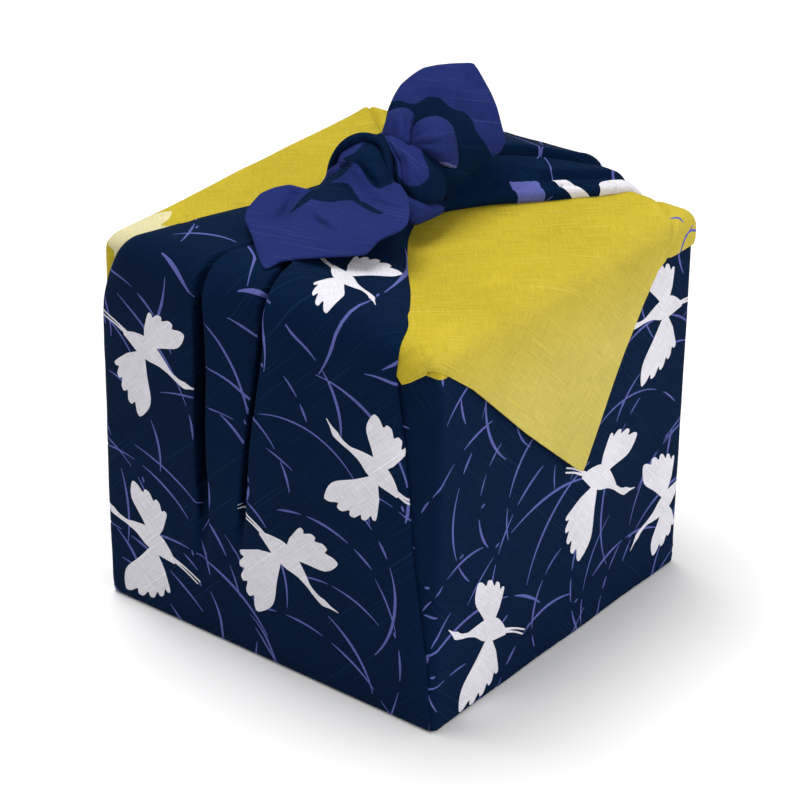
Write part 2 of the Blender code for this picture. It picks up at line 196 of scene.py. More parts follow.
def spline(points, per_span):
    """A smooth curve through a few points, or smooth rows through rows of them."""
    points = np.asarray(points, float)
    padded = np.concatenate([[2 * points[0] - points[1]], points, [2 * points[-1] - points[-2]]])
    share = (np.arange(per_span) / per_span).reshape(-1, *[1] * (points.ndim - 1))
    spans = [bend(*four, share) for four in zip(padded, padded[1:], padded[2:], padded[3:])]
    return np.concatenate([*spans, points[-1:]])


def soft_ring(points, spacing=0.8 * MM):
    """A closed outline through a few points, in millimetres, with soft bends."""
    points = np.asarray(points, float) * MM
    spans = []
    for a, b, c, d in zip(*(np.roll(points, by, axis=0) for by in (1, 0, -1, -2))):
        steps = max(2, int(np.linalg.norm(c - b) / spacing))
        share = (np.arange(steps) / steps)[:, None]
        spans.append(bend(a, b, c, d, share) * 0.6 + (b + (c - b) * share) * 0.4)
    return np.vstack(spans)


def read_grid(grid, row, column):
    """The grid's values at places between its rows and columns."""
    r = np.minimum(row.astype(int), grid.shape[0] - 2)
    c = np.minimum(column.astype(int), grid.shape[1] - 2)
    one_each = (-1, *[1] * (grid.ndim - 2))
    down, along = (row - r).reshape(one_each), (column - c).reshape(one_each)
    return ((grid[r, c] * (1 - along) + grid[r, c + 1] * along) * (1 - down)
            + (grid[r + 1, c] * (1 - along) + grid[r + 1, c + 1] * along) * down)


def stroke(line, half_widths):
    """A brush stroke's outline: a line of points, with its half width at even steps."""
    run = unit(np.gradient(line, axis=0))
    across = np.stack([-run[:, 1], run[:, 0]], axis=1)
    steps = np.linspace(0, 1, len(half_widths))
    wide = np.interp(np.linspace(0, 1, len(line)), steps, half_widths)[:, None]
    return np.vstack([line + across * wide, (line - across * wide)[::-1]])


# --- The print, on the flat cloth ---
Shape = namedtuple("Shape", "ink outline")

GRASS_SEED = 41
GRASS_STEP = 0.029           # one blade to each square of this side
GRASS_LENGTH = (0.040, 0.095)
GRASS_BEND = (1.0, 2.1)      # radians from end to end
GRASS_HALF_WIDTH = 0.00055
GRASS_REACH = 0.270          # the blades fill the cloth as far as this from its middle
SEED_SHARE = 0.45            # of the blades have a seed beside them


def blade(random, x, y):
    """One long arched blade, drawn in a few broken strokes, and now and then a seed beside it."""
    arch = -math.pi / 4 + random.uniform(-0.85, 0.85)
    length = random.uniform(*GRASS_LENGTH)
    bending = random.uniform(*GRASS_BEND)
    heading = arch + math.pi / 2 + bending * np.linspace(-0.5, 0.5, 61)
    line = np.cumsum(np.stack([np.cos(heading), np.sin(heading)], axis=1) * length / 60, axis=0)
    line += np.array((x, y)) - line[30]
    cuts = np.sort(random.choice(np.arange(8, 54), random.integers(1, 4), replace=False))
    bounds = [0, *cuts, 61]
    shapes = []
    for first, last in zip(bounds, bounds[1:]):
        part = line[first + 1:last - 1:2]
        if len(part) >= 4:
            wide = GRASS_HALF_WIDTH * random.uniform(0.7, 1.25)
            shapes.append(Shape(LILAC, stroke(part, [0.25 * wide, wide, 0.9 * wide, 0.3 * wide])))
    if random.uniform() < SEED_SHARE:
        spot = line[cuts[0]] + random.uniform(-0.004, 0.004, 2)
        seed_line = spot + np.outer(np.linspace(-1, 1, 4), (0.0004, 0.0012))
        shapes.append(Shape(LILAC, stroke(seed_line, [0.0002, 0.0006, 0.0002])))
    return shapes


def grass():
    random = np.random.default_rng(GRASS_SEED)
    shapes = []
    steps = np.arange(-GRASS_REACH, GRASS_REACH, GRASS_STEP)
    for x in steps:
        for y in steps:
            spot = random.uniform(0.1, 0.9, 2) * GRASS_STEP + (x, y)
            drawn = blade(random, *spot)
            if abs(spot[0]) < GRASS_REACH - 0.03 or abs(spot[1]) < HALF:
                shapes.extend(drawn)
    return shapes


# A flying crane, one unit from beak to toes: brush strokes by the points of their middle line and
# their half widths.
BODY = (
    ([(-0.56, 0.02), (-0.48, 0.045), (-0.40, 0.062), (-0.30, 0.050), (-0.18, 0.015), (-0.04, 0.000),
      (0.10, 0.005), (0.20, 0.02)],
     [0.003, 0.010, 0.030, 0.020, 0.018, 0.045, 0.085, 0.088, 0.050, 0.012]),
    ([(0.14, -0.005), (0.30, -0.02), (0.44, -0.015)], [0.012, 0.007, 0.006]),
    ([(0.14, 0.010), (0.30, 0.005), (0.43, 0.018)], [0.012, 0.007, 0.006]),
)
WING_ROOT = np.array((-0.02, 0.02))
WING_TAPER = 0.40            # how much shorter the last feather is than the first
FEATHER_NOTCH = 0.90         # how far out the gaps between the feathers reach


def wing(first_angle, spread, length, feathers):
    """A wing from the shoulder: a smooth front edge and a row of rounded feather tips."""
    def out(share, reach):
        angle = first_angle + spread * share
        way = np.array((math.cos(angle), math.sin(angle)))
        return WING_ROOT + reach * length * (1 - WING_TAPER * share) * way

    points = [WING_ROOT, out(-0.10, 0.35), out(-0.12, 0.7)]
    for n in range(feathers):
        share, half = n / feathers, 0.5 / feathers
        points += [out(share + 0.4 * half, 0.985), out(share + 1.2 * half, 0.995)]
        if n < feathers - 1:
            points.append(out(share + 1.95 * half, FEATHER_NOTCH))
    points.append(out(1.02, 0.6))
    return spline(points, 4)


def bird(x, y, size, turn, high_wing, low_wing, flipped):
    """A white crane on the cloth: its place and size in millimetres, and its angles in degrees."""
    turn, high_wing, low_wing = (math.radians(angle) for angle in (turn, high_wing, low_wing))
    outlines = [stroke(spline(line, 5), widths) for line, widths in BODY]
    outlines += [wing(high_wing, -1.05, 0.60, 5), wing(low_wing, 1.00, 0.50, 4)]
    turned = np.array(((math.cos(turn), math.sin(turn)), (-math.sin(turn), math.cos(turn))))
    mirror = np.array((1.0, -1.0 if flipped else 1.0))
    middle = np.array((x, y)) * MM
    return [Shape(WHITE, (outline * mirror * size * MM) @ turned + middle) for outline in outlines]


# Each bird's row: the middle, the size, the turn, the two wings' angles, and whether it is flipped.
BIRDS = (
    (-56, -116, 56, 24, 100, 220, 0),
    (10, -138, 58, -150, 100, 220, 1),
    (58, -190, 52, 38, 108, 225, 0),
    (-62, -206, 54, 196, 105, 225, 1),
    (22, -262, 40, 200, 100, 220, 0),
    (112, -46, 56, 118, 100, 220, 0),
    (150, 22, 58, -60, 105, 225, 1),
    (208, 66, 54, 100, 110, 225, 0),
    (116, 74, 50, 60, 100, 220, 1),
    (-150, -30, 58, 200, 100, 220, 0),
    (-198, 44, 56, 250, 110, 225, 0),
    (-112, 48, 52, 30, 100, 220, 1),
    (-40, 150, 58, 200, 100, 220, 0),
    (30, 205, 56, 160, 110, 230, 0),
    (-46, 232, 50, 60, 105, 225, 0),
    (44, 118, 52, -30, 100, 215, 1),
    (-30, -20, 56, 70, 100, 220, 0),
    (36, 42, 56, -80, 110, 225, 0),
)


# --- Cloth meshes ---
def ring(first, count):
    ids = first + np.arange(count)
    return np.stack([ids, np.roll(ids, -1)], axis=1)


def crowded(points, others, distance):
    """Which points have one of the others in their own square of the given size."""
    keys = {tuple(key) for key in np.floor(others / distance).astype(int)}
    return np.array([tuple(key) in keys for key in np.floor(points / distance).astype(int)])


def lay_out(outline, spacing, shapes, extra):
    """Triangles of a flat stretch of cloth with the print's outlines cut into it.

    Returns the flat points, the triangles and each triangle's shape number, or -1.
    """
    low, high = outline.min(0), outline.max(0)
    near = [n for n, shape in enumerate(shapes)
            if (shape.outline.max(0) > low).all() and (shape.outline.min(0) < high).all()]
    steps = [np.arange(low[axis] + spacing / 2, high[axis], spacing) for axis in range(2)]
    grid = np.stack(np.meshgrid(*steps), axis=-1)
    grid[1::2, :, 0] += spacing / 2
    grid = grid.reshape(-1, 2)
    keep = inside(grid, outline)
    if len(extra):
        keep &= ~crowded(grid, extra, spacing * 0.55)
        extra = extra[inside(extra, outline)]
    rings = [resample(outline, spacing)] + [shapes[n].outline for n in near]
    starts = np.cumsum([0] + [len(points) for points in rings])
    edges = np.vstack([ring(start, len(points)) for start, points in zip(starts, rings)])
    flat = np.vstack([*rings, grid[keep], extra.reshape(-1, 2)]) / MM
    result = delaunay_2d_cdt([Vector(p) for p in flat], edges.tolist(), [], 0, 1e-4, False)
    flat = np.array([tuple(p) for p in result[0]]) * MM
    triangles = np.array(result[2])
    middles = flat[triangles].mean(1)
    kept = inside(middles, outline)
    triangles, middles = triangles[kept], middles[kept]
    owner = np.full(len(triangles), -1)
    for n in near:
        shape = shapes[n].outline
        close = np.flatnonzero((middles > shape.min(0)).all(1) & (middles < shape.max(0)).all(1))
        owner[close[inside(middles[close], shape)]] = n
    used, places = np.unique(triangles, return_inverse=True)
    triangles = places.reshape(-1, 3)
    flat = flat[used]
    a, b, c = flat[triangles].transpose(1, 0, 2)
    area = (b[:, 0] - a[:, 0]) * (c[:, 1] - a[:, 1]) - (b[:, 1] - a[:, 1]) * (c[:, 0] - a[:, 0])
    triangles[area < 0] = triangles[area < 0][:, ::-1]
    return flat, triangles, owner


def thread_map(cloth):
    """Flat cloth places turned so that U runs along the slubbed threads."""
    return np.stack([cloth[:, 1] - cloth[:, 0], cloth[:, 0] + cloth[:, 1]], axis=1) / math.sqrt(2)


def cloth_sheet(name, outline, place, shapes, spacing=2.5 * MM, ground=NAVY, to_cloth=None,
                extra=np.zeros((0, 2)), turned_over=False):
    """Lays a stretch of cloth out flat, folds it with "place" and gives it its thickness."""
    flat, triangles, owner = lay_out(outline, spacing, shapes, extra)
    middle = place(flat)
    if turned_over:
        triangles = triangles[:, ::-1]
    a, b, c = middle[triangles].transpose(1, 0, 2)
    facing = np.cross(b - a, c - a)
    normal = np.zeros_like(middle)
    for corner in range(3):
        np.add.at(normal, triangles[:, corner], facing)
    normal = unit(normal)
    sides = np.concatenate([triangles[:, [0, 1]], triangles[:, [1, 2]], triangles[:, [2, 0]]])
    owners = np.tile(np.arange(len(triangles)), 3)
    _, first, uses = np.unique(np.sort(sides, axis=1), axis=0, return_index=True, return_counts=True)
    rim, rim_owner = sides[first[uses == 1]], owners[first[uses == 1]]
    p, q = rim.T
    outward = np.zeros_like(middle)
    away = np.cross(middle[q] - middle[p], normal[p])
    for end in (p, q):
        np.add.at(outward, end, away)
    bulge = middle + unit(outward) * SHEET * 0.4
    # The points of the face, of the reverse, and of the rounded rim between them.
    on_rim = np.unique(rim)
    count = len(middle)
    points = np.vstack([middle + normal * SHEET / 2, middle - normal * SHEET / 2, bulge[on_rim]])
    edge = 2 * count + np.searchsorted(on_rim, rim)
    quads = np.vstack([np.stack([q, p, edge[:, 0], edge[:, 1]], axis=1),
                       np.stack([edge[:, 1], edge[:, 0], p + count, q + count], axis=1)])
    faces = triangles.tolist() + (triangles[:, ::-1] + count).tolist() + quads.tolist()
    mesh = bpy.data.meshes.new(name)
    mesh.from_pydata(points.tolist(), [], faces)
    inks = np.array([shape.ink for shape in shapes] + [ground])[owner]
    face_inks = np.concatenate([inks, inks + INKS, inks[rim_owner], inks[rim_owner]])
    mesh.polygons.foreach_set("material_index", face_inks.astype(np.int32))
    mesh.polygons.foreach_set("use_smooth", np.ones(len(faces), bool))
    corners = np.zeros(len(mesh.loops), np.int32)
    mesh.loops.foreach_get("vertex_index", corners)
    threads = thread_map(to_cloth(flat) if to_cloth else flat)
    threads = np.vstack([threads, threads, threads[on_rim]])
    mesh.uv_layers.new(name="cloth").data.foreach_set("uv", threads[corners].ravel())
    for material in MATERIALS:
        mesh.materials.append(material)
    mark(add(name, mesh))


def add(name, data):
    """Puts a new object, with the given mesh, light or camera, into the scene."""
    thing = bpy.data.objects.new(name, data)
    bpy.context.scene.collection.objects.link(thing)
    return thing


def mark(thing):
    """Attaches the piece to the root body and hides the imported cloth part.
    """
    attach(thing, "root")
    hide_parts(NODE)


# --- The way round the cube ---
def walk_round():
    """The way of the flat cloth from the base's middle round the rounded cube: its distance, how
    far it has gone sideways and up, and its heading."""
    step = 0.25 * MM
    way = np.arange(0, FAR_EDGE + HEIGHT, step)
    heading = np.zeros_like(way)
    speed = np.ones_like(way)
    for edge, radius in ((HALF, BASE_RADIUS), (TOP_EDGE, EDGE_RADIUS), (FAR_EDGE, EDGE_RADIUS)):
        share = (way + step / 2 - edge + radius) / (2 * radius)
        heading += np.clip(share, 0, 1) * math.pi / 2
        speed[(share > 0) & (share < 1)] = math.pi / 4
    side, up = (np.cumsum(np.append(0, turned * speed * step))[:-1]
                for turned in (np.cos(heading), np.sin(heading)))
    return way, side, up, heading


WAY = walk_round()


def round_cube(way):
    return [np.interp(way, WAY[0], column) for column in WAY[1:]]


# --- The strip that runs round the cube and ends in the flap ---
FLAP_X = -TOP_EDGE / MM
HANG_X = -FAR_EDGE / MM
SIDE_X = HALF / MM

# The strip's two edges on the flat cloth, in millimetres: X, and how far it reaches past the cube's
# own width towards -Y and towards +Y. Past the width it turns round the cube's edge, under the
# tied panels.
STRIP = (
    (-FLAP_X + 18, -6, -6), (-FLAP_X + 7, 3, 3), (-FLAP_X - 6, 5, 5), (-FLAP_X - 8, 29, 26),
    (SIDE_X + 60, 18, 18), (SIDE_X + 9, 9, 9), (SIDE_X + 6, 4, 4), (-SIDE_X - 6, 4, 4), (-SIDE_X - 9, 9, 9),
    (FLAP_X + 9, 26, 26), (FLAP_X + 6, 5, 5), (FLAP_X - 6, 5, 5), (FLAP_X - 8, 22, 24),
    (FLAP_X - 14, 20, 24), (FLAP_X - 22, 7, 24), (FLAP_X - 104, 7, 22), (FLAP_X - 112, 19, 22),
    (FLAP_X - 120, 20, 22), (HANG_X + 28, 16, 22), (HANG_X + 22, 9.6, 20), (HANG_X + 17, 14.6, 16),
    (HANG_X + 13, 12, 14), (HANG_X + 6, 6.6, 6), (HANG_X - 1, 4.4, 5),
)
# The flap's hems on the hanging side: how far each point is below the cube's top edge, and its Y.
FLAP_HEM = (
    (5.7, -80.7), (18, -65), (50, -32.2), (81, 2.5),
    (83.3, 5.9),
    (81.5, 7.5), (60.5, 21.3), (42.5, 33.5), (25.4, 45.7), (15.6, 54.8), (13.4, 60), (13.3, 79.7)
)


def strip_outline():
    points = [(x, -SIDE_X - front) for x, front, _ in STRIP]
    points += [(HANG_X - below, y) for below, y in FLAP_HEM]
    points += [(x, SIDE_X + back) for x, _, back in reversed(STRIP)]
    return np.array(points) * MM


# How far the flap stands off the cube, by its distance past the far edge, in millimetres.
FLAP_STAND = track(((-170, 0), (-150, 1), (-12, 1.4), (6, 1.6), (30, 2.2), (60, 3), (86, 4.2)),
                   ("past", "stand"), 2, 6 * MM)["stand"]

STRIP_CREASES = (
    (HANG_X + 24, -92, HANG_X - 3, -71, 2.6, -1.2), (HANG_X + 16, -99, HANG_X - 2, -82, 3, 1),
    (HANG_X + 40, -66, HANG_X - 8, -60, 5, 0.6), (HANG_X + 60, -40, HANG_X - 2, -30, 7, -0.5),
    (HANG_X + 55, 60, HANG_X - 4, 52, 6, 0.5), (FLAP_X + 3, 84, FLAP_X - 38, 51, 1.1, -2),
    (FLAP_X + 1, 79, FLAP_X - 36, 47, 2.2, 1), (HANG_X + 26, 88, HANG_X + 2, 68, 1.1, -1.4),
    (HANG_X + 8, 74, HANG_X - 26, 56, 1.3, -1.2), (FLAP_X - 2, -78, FLAP_X - 26, -62, 3, 0.8),
)


def across_tight_edges():
    """Points for the strip's mesh, close together across the cube's base and upright edges."""
    points = []
    for near in np.linspace(-1, 1, 7):
        for side in (-1, 1):
            base = side * (HALF + near * BASE_RADIUS)
            points.extend((base, y) for y in np.arange(-HALF, HALF, 3 * MM))
            upright = side * (HALF + near * UPRIGHT_RADIUS)
            points.extend((x, upright) for x in np.arange(-FAR_EDGE - 20 * MM, TOP_EDGE, 3 * MM))
    return np.array(points)


TOP_BLEND = 8 * MM           # the upright edges' radius turns into the top's within this
SOFT_EDGE_REACH = 9 * MM     # from the top edges, where the cloth sinks in a little
SLACK_AT_TOP = (2.6 * MM, 2.8 * MM)     # how far, at the flap's edge and at the near one


def strip_place(flat):
    """Folds the strip round the cube, with its edges turned round the cube's upright edges."""
    x, y = flat.T
    far_x, far_y = np.abs(x), np.abs(y)
    side, up, heading = round_cube(far_x)
    over_top = smooth(TOP_EDGE - TOP_BLEND, TOP_EDGE + TOP_BLEND, far_x)
    over_top *= 1 - smooth(FAR_EDGE - TOP_BLEND, FAR_EDGE + TOP_BLEND, far_x)
    radius = UPRIGHT_RADIUS + (EDGE_RADIUS - UPRIGHT_RADIUS) * over_top
    turn = np.clip((far_y - HALF + radius) / (2 * radius), 0, 1) * math.pi / 2
    drop = radius * (1 - np.cos(turn)) + np.maximum(far_y - HALF - radius, 0)
    across = np.minimum(far_y, HALF - radius) + radius * np.sin(turn)
    past = -x - FAR_EDGE
    stand = np.where(x < -TOP_EDGE, FLAP_STAND(past), 0.0)
    under = (1 - smooth(HALF - 0.012, HALF - 0.004, far_x)) * 0.9 * MM
    face = np.maximum(1 - np.abs(y / HALF) ** 4, 0)
    soft_edge = SLACK_AT_TOP[0] * hump(past, SOFT_EDGE_REACH) * face
    soft_edge += SLACK_AT_TOP[1] * hump(x - TOP_EDGE, SOFT_EDGE_REACH) * face
    stand = stand - under - soft_edge - SHEET / 2 + crease_relief(flat, STRIP_CREASES)
    stand += ripples(flat, 3, 0.070, 0.22 * MM) + ripples(flat, 4, 0.022, 0.05 * MM)
    lean = stand * np.cos(turn) - drop
    return np.stack([
        np.where(x < 0, -1.0, 1.0) * (side + np.sin(heading) * lean),
        np.sign(y) * (across + stand * np.sin(turn)),
        up - np.cos(heading) * lean,
    ], axis=1)


# --- The tied panels ---
# A panel climbs a side face and runs on over the top to the knot. "up" is the distance from the
# base edge, as if the top edge were sharp; left and right are its folded edges; "rise" is how far
# it stands off the cube at the folds, "crown" how much more in its middle, and "roll" the radius
# of the fold. All are in millimetres.
PANEL_COLUMNS = ("up", "left", "right", "rise", "crown", "roll")
FRONT_PANEL = (
    (-14, -79, 78, 0, 0, 1), (-4, -80.6, 79.6, 0, 0, 1), (4, -81.2, 80, 0.2, 0, 1),
    (30, -81.5, 77.6, 1.2, 0.6, 1), (74, -81.5, 70.6, 1.4, 2.6, 1), (112, -81.4, 66.9, 1.8, 4.6, 1),
    (134, -80.2, 63.8, 2, 5.4, 1), (146, -77.5, 61.8, 2, 5.8, 1), (154, -74.2, 61.8, 2, 6, 1),
    (162, -70.2, 62, 2, 6, 1), (171, -66.5, 58.8, 1.8, 6.2, 1), (182, -62.5, 51, 1.8, 7, 1),
    (196, -56.5, 40.5, 1.8, 8.8, 1), (210, -49, 28, 2, 11.2, 1), (222, -43, 18.5, 2.4, 12.8, 1),
    (231, -37.5, 12, 3, 14.2, 1), (238, -30, 9, 3.4, 14, 1), (244, -21, 6, 3.4, 12, 1),
    (252, -14, 2, 3, 9, 1),
)
BACK_PANEL = (
    (-14, -78, 78, 0, 0, 1), (-4, -80, 80, 0, 0, 1), (4, -80.6, 80.6, 0.2, 0, 1),
    (30, -78, 78, 1.2, 0.6, 1), (74, -71.5, 72.5, 1.4, 2.2, 1), (120, -64.5, 69, 2, 3.6, 1.1),
    (145, -59, 66.5, 2, 3, 1.2), (156, -56, 65.2, 2, 3, 1.4), (165, -52.5, 63, 3, 4.2, 1.8),
    (174, -48, 58.8, 4.8, 6.8, 2.4), (186, -40, 50, 6.2, 10, 2.8), (200, -29, 38.5, 6.4, 11.6, 2.8),
    (214, -17, 28.5, 6.6, 12.4, 2.8), (228, -9, 21.5, 6.6, 12, 2.8), (240, -6, 17, 6.6, 10.4, 2.6),
    (252, -4, 12, 6, 8, 2.2),
)

# A pleat's folded edge, by height: where it lies, the length of cloth that its fold takes up, and
# the width of the valley beside it, all in millimetres; how far the fold turns, from 0 for flat
# cloth to 1 where it lies right over; and the valley's depth, as a share of how far the panel stands
# off and may sink in.
PLEAT_COLUMNS = ("up", "at", "cloth", "wide", "turn", "deep")
FRONT_PLEATS = (
    ((30, -28, 0, 6, 0, 0), (56, -26.2, 1, 6.6, 0.1, 0.25), (80, -24.4, 3, 7.8, 0.3, 0.7),
     (100, -22.8, 4, 8.8, 0.45, 1), (128, -21.2, 4, 9, 0.45, 1.05), (149, -21.2, 4, 8.2, 0.45, 1),
     (158, -22.2, 4, 6.6, 0.45, 0.55), (166, -21.6, 3.6, 6, 0.38, 0.2), (176, -16.8, 3, 6, 0.3, 0.15),
     (190, -14, 1.4, 6, 0.15, 0.05), (252, -9, 0, 6, 0, 0)),
    ((44, -10, 0, 4, 0, 0), (74, -5.4, 1.6, 4.4, 0.2, 0.5), (98, -0.8, 3.6, 4.8, 0.42, 0.95),
     (120, 3.4, 4, 5, 0.45, 1), (148, 8.4, 4, 5, 0.45, 0.95), (163, 8.2, 4, 5, 0.45, 0.55),
     (174, 3.6, 3, 5, 0.3, 0.25), (190, -1, 1.4, 5, 0.15, 0.05), (252, 0, 0, 5, 0, 0)),
)
BACK_PLEATS = (
    ((60, -56, 0, 5, 0, 0), (110, -54.5, 2, 5, 0.2, 0.2), (152, -48, 2.6, 5, 0.3, 0.25),
     (172, -41.5, 2.6, 5, 0.3, 0.25), (186, -32, 1.8, 5.2, 0.18, 0.3), (200, -20.5, 0, 5.4, 0, 0.32),
     (214, -9, 0, 5.4, 0, 0.26), (252, -1, 0, 5.2, 0, 0.05)),
    ((45, -42, 0, 5, 0, 0), (75, -41, 2, 5, 0.2, 0.3), (120, -40, 4, 6, 0.4, 0.6),
     (146, -37, 4, 6, 0.4, 0.4), (165, -31, 3.6, 5.6, 0.38, 0.28), (180, -20, 3.4, 5, 0.36, 0.25),
     (198, -6, 3, 4.6, 0.3, 0.22), (220, 2, 1.6, 4, 0.2, 0.15), (252, 4, 0, 4, 0, 0.1)),
    ((50, 20, 0, 5, 0, 0), (80, 21, 3, 5.6, 0.3, 0.35), (120, 21.5, 4, 6.4, 0.4, 0.65),
     (150, 22, 4, 6, 0.4, 0.4), (166, 21.5, 3.6, 5.6, 0.38, 0.25), (200, 17, 2.6, 5, 0.3, 0.22),
     (252, 10, 0, 4, 0, 0.1)),
)

FOLD_RETURN = 7.0 * MM       # how far a panel's turned edge runs back under it
VALLEY_SINK = 9.0 * MM       # a valley of depth 1 goes this far in past the cube's face
VALLEY_TOP = 0.150           # up to here: above it the strip lies under the panel
VALLEY_UNDERCUT = 4.5 * MM   # and its far side runs this far back under the cloth beside it
VALLEY_WALL = 0.8 * MM       # half the width of the far side of a front valley
SOFT_VALLEY_WALL = 2.2 * MM  # and of a back valley, which is softer
VALLEY_REACH = 11.0 * MM     # the mesh is fine as far as this from a fold
ROLL_SHARE = 0.30            # of a pleat's cloth, in each of its two turns
PLEAT_FALL = 14 * MM         # the cloth that lies on a fold comes down again over about this length
PLEAT_DIP = 0.30             # the cloth under a fold gives way by this share of the fold's height


def pleat_shapes():
    """How far a pleat's fold goes sideways and up, for each turn and each place along its cloth."""
    turns = np.linspace(0, 1, 41)
    places = np.linspace(0, 1, 121)
    bent = smooth(0, ROLL_SHARE, places) * (1 - smooth(1 - ROLL_SHARE, 1, places))
    angle = turns[:, None] * bent[None, :] * math.pi
    along, high = (np.cumsum(turned, axis=1) * places[1] for turned in (np.cos(angle), np.sin(angle)))
    return along - along[:, :1], high - high[:, :1]


PLEAT_ALONG, PLEAT_HIGH = pleat_shapes()


def read_pleat(grid, turn, place):
    rows, columns = grid.shape
    return read_grid(grid, np.clip(turn, 0, 1) * (rows - 1), np.clip(place, 0, 1) * (columns - 1))


class Panel:
    """A tied panel: where its folds lie on the flat cloth and how it lies on the cube.

    Its own flat coordinates are X and the distance from the base's middle.
    """

    def __init__(self, table, pleats, side, sink, wall, seed):
        self.edges = track(table, PANEL_COLUMNS, 6)
        self.pleats = [track(pleat, PLEAT_COLUMNS, 4, 6 * MM) for pleat in reversed(pleats)]
        self.side, self.sink, self.wall, self.seed = side, sink, wall, seed
        self.low, self.high = table[0][0] * MM, table[-1][0] * MM

    def folds(self, up):
        """For each pleat, from the right: where its fold starts and ends on the cloth, and how
        much further right the cloth lies past it."""
        shift = np.zeros_like(up)
        found = []
        for pleat in self.pleats:
            at, cloth, turn = pleat["at"](up), np.maximum(pleat["cloth"](up), 1e-6), pleat["turn"](up)
            ahead = cloth * read_pleat(PLEAT_ALONG, turn, np.ones_like(up))
            found.append((at - shift, cloth, turn, at, ahead))
            shift = shift + cloth - ahead
        return found, shift

    def outline(self):
        ups = np.linspace(self.low, self.high, 140)
        _, shift = self.folds(ups)
        over = math.pi * self.edges["roll"](ups) + FOLD_RETURN
        left = np.stack([self.edges["left"](ups) - shift - over, ups + HALF], axis=1)
        right = np.stack([self.edges["right"](ups) + over, ups + HALF], axis=1)
        return np.vstack([right, left[::-1]])

    def extra_points(self):
        """More points for the mesh, close together where the cloth turns sharply."""
        points = []
        slanted = HEIGHT - 10 * MM        # from here up the folds run aslant
        rows = np.concatenate([np.arange(self.low, slanted, 1.6 * MM),
                               np.arange(slanted, self.high, 0.8 * MM)])
        for up in rows:
            row = np.full(1, up)
            found, shift = self.folds(row)
            places = []
            for (start,), (cloth,), *_ in found:
                if cloth > 1.0 * MM:
                    places.extend(start - cloth * np.linspace(0, 1, 15))
                    places.extend(start - cloth - np.arange(0.4 * MM, VALLEY_REACH, 0.6 * MM))
            turns = np.array((0.0, 0.8, 1.6, 2.4, math.pi, 5.0)) * self.edges["roll"](row)
            places.extend(self.edges["right"](row) + turns)
            places.extend(self.edges["left"](row) - shift - turns)
            points.extend((place, up + HALF) for place in places)
        for near in np.linspace(-1, 1, 7):
            base = HALF + near * BASE_RADIUS
            points.extend((x, base) for x in np.arange(-HALF, HALF, 3 * MM))
        return np.array(points)

    def plain_valleys(self):
        """The print is left out of the valleys, where it would be drawn out, and is in the dark."""
        ups = np.linspace(0.070, VALLEY_TOP, 33)
        found, _ = self.folds(ups)
        shapes = []
        for (start, cloth, *_), pleat in zip(found, self.pleats):
            near = start - cloth + 0.5 * MM
            far = start - cloth - pleat["wide"](ups) + 1.0 * MM
            shapes.append(Shape(NAVY, np.vstack([np.column_stack([near, ups + HALF]),
                                                 np.column_stack([far, ups + HALF])[::-1]])))
        return shapes

    def place(self, flat):
        x_flat, way = flat.T
        up = way - HALF
        found, shift = self.folds(up)
        left, right, rise, crown, radius = (self.edges[column](up) for column in PANEL_COLUMNS[1:])
        x = x_flat.copy()
        lift = np.zeros(len(flat))
        for start, cloth, turn, at, ahead in found:
            high = cloth * read_pleat(PLEAT_HIGH, turn, np.ones_like(up))
            on_top, under = x_flat >= start, x_flat < start - cloth
            in_fold = ~on_top & ~under
            place = (x_flat - start + cloth) / cloth
            fold_x = at - ahead + cloth * read_pleat(PLEAT_ALONG, turn, place)
            lift += np.where(on_top, high * np.exp(-np.maximum(x - at, 0) / PLEAT_FALL), 0)
            lift += np.where(in_fold, cloth * read_pleat(PLEAT_HIGH, turn, place), 0)
            x = np.where(in_fold, fold_x, np.where(under, x + (cloth - ahead), x))
            lift -= np.where(under, hump(x - at, 6 * MM) * high * PLEAT_DIP, 0)
        # the folded edges
        over_right = np.maximum(x_flat - right, 0)
        over_left = np.maximum(left - shift - x_flat, 0)
        over = over_right + over_left
        turn = np.clip(over / radius, 0, math.pi)
        reach = radius * np.sin(turn) - np.maximum(over - math.pi * radius, 0)
        x = np.where(over_right > 0, right + reach, x)
        x = np.where(over_left > 0, left - reach, x)
        share = np.clip((x - left) / (right - left), 0, 1)
        stand = np.maximum(rise, 0.0) + crown * np.sin(math.pi * share) ** 0.6
        stand += lift * smooth(0, 0.05, np.minimum(share, 1 - share))
        uneven = np.stack([x, way], axis=1)
        stand += ripples(uneven, self.seed, 0.060, 0.25 * MM)
        stand += ripples(uneven, self.seed + 1, 0.020, 0.06 * MM)
        stand = np.maximum(stand, 0.4 * MM)
        for pleat in reversed(self.pleats):
            beside, wide = x - pleat["at"](up), pleat["wide"](up)
            far_side = smooth(-wide - self.wall, -wide + self.wall, beside)
            valley = far_side * (1 - smooth(-2.8 * MM, -0.4 * MM, beside))
            depth = pleat["deep"](up) * smooth(0, 0.05, share)
            sunk = self.sink * (1 - smooth(VALLEY_TOP - 6 * MM, VALLEY_TOP + 6 * MM, up))
            stand -= depth * valley * (stand + sunk)
            undercut = VALLEY_UNDERCUT * sunk / VALLEY_SINK
            x -= undercut * depth * far_side * (1 - smooth(-wide + self.wall, -1.0 * MM, beside))
        stand += 0.3 * MM - radius * (1 - np.cos(turn)) * smooth(0.0, 0.03, up)
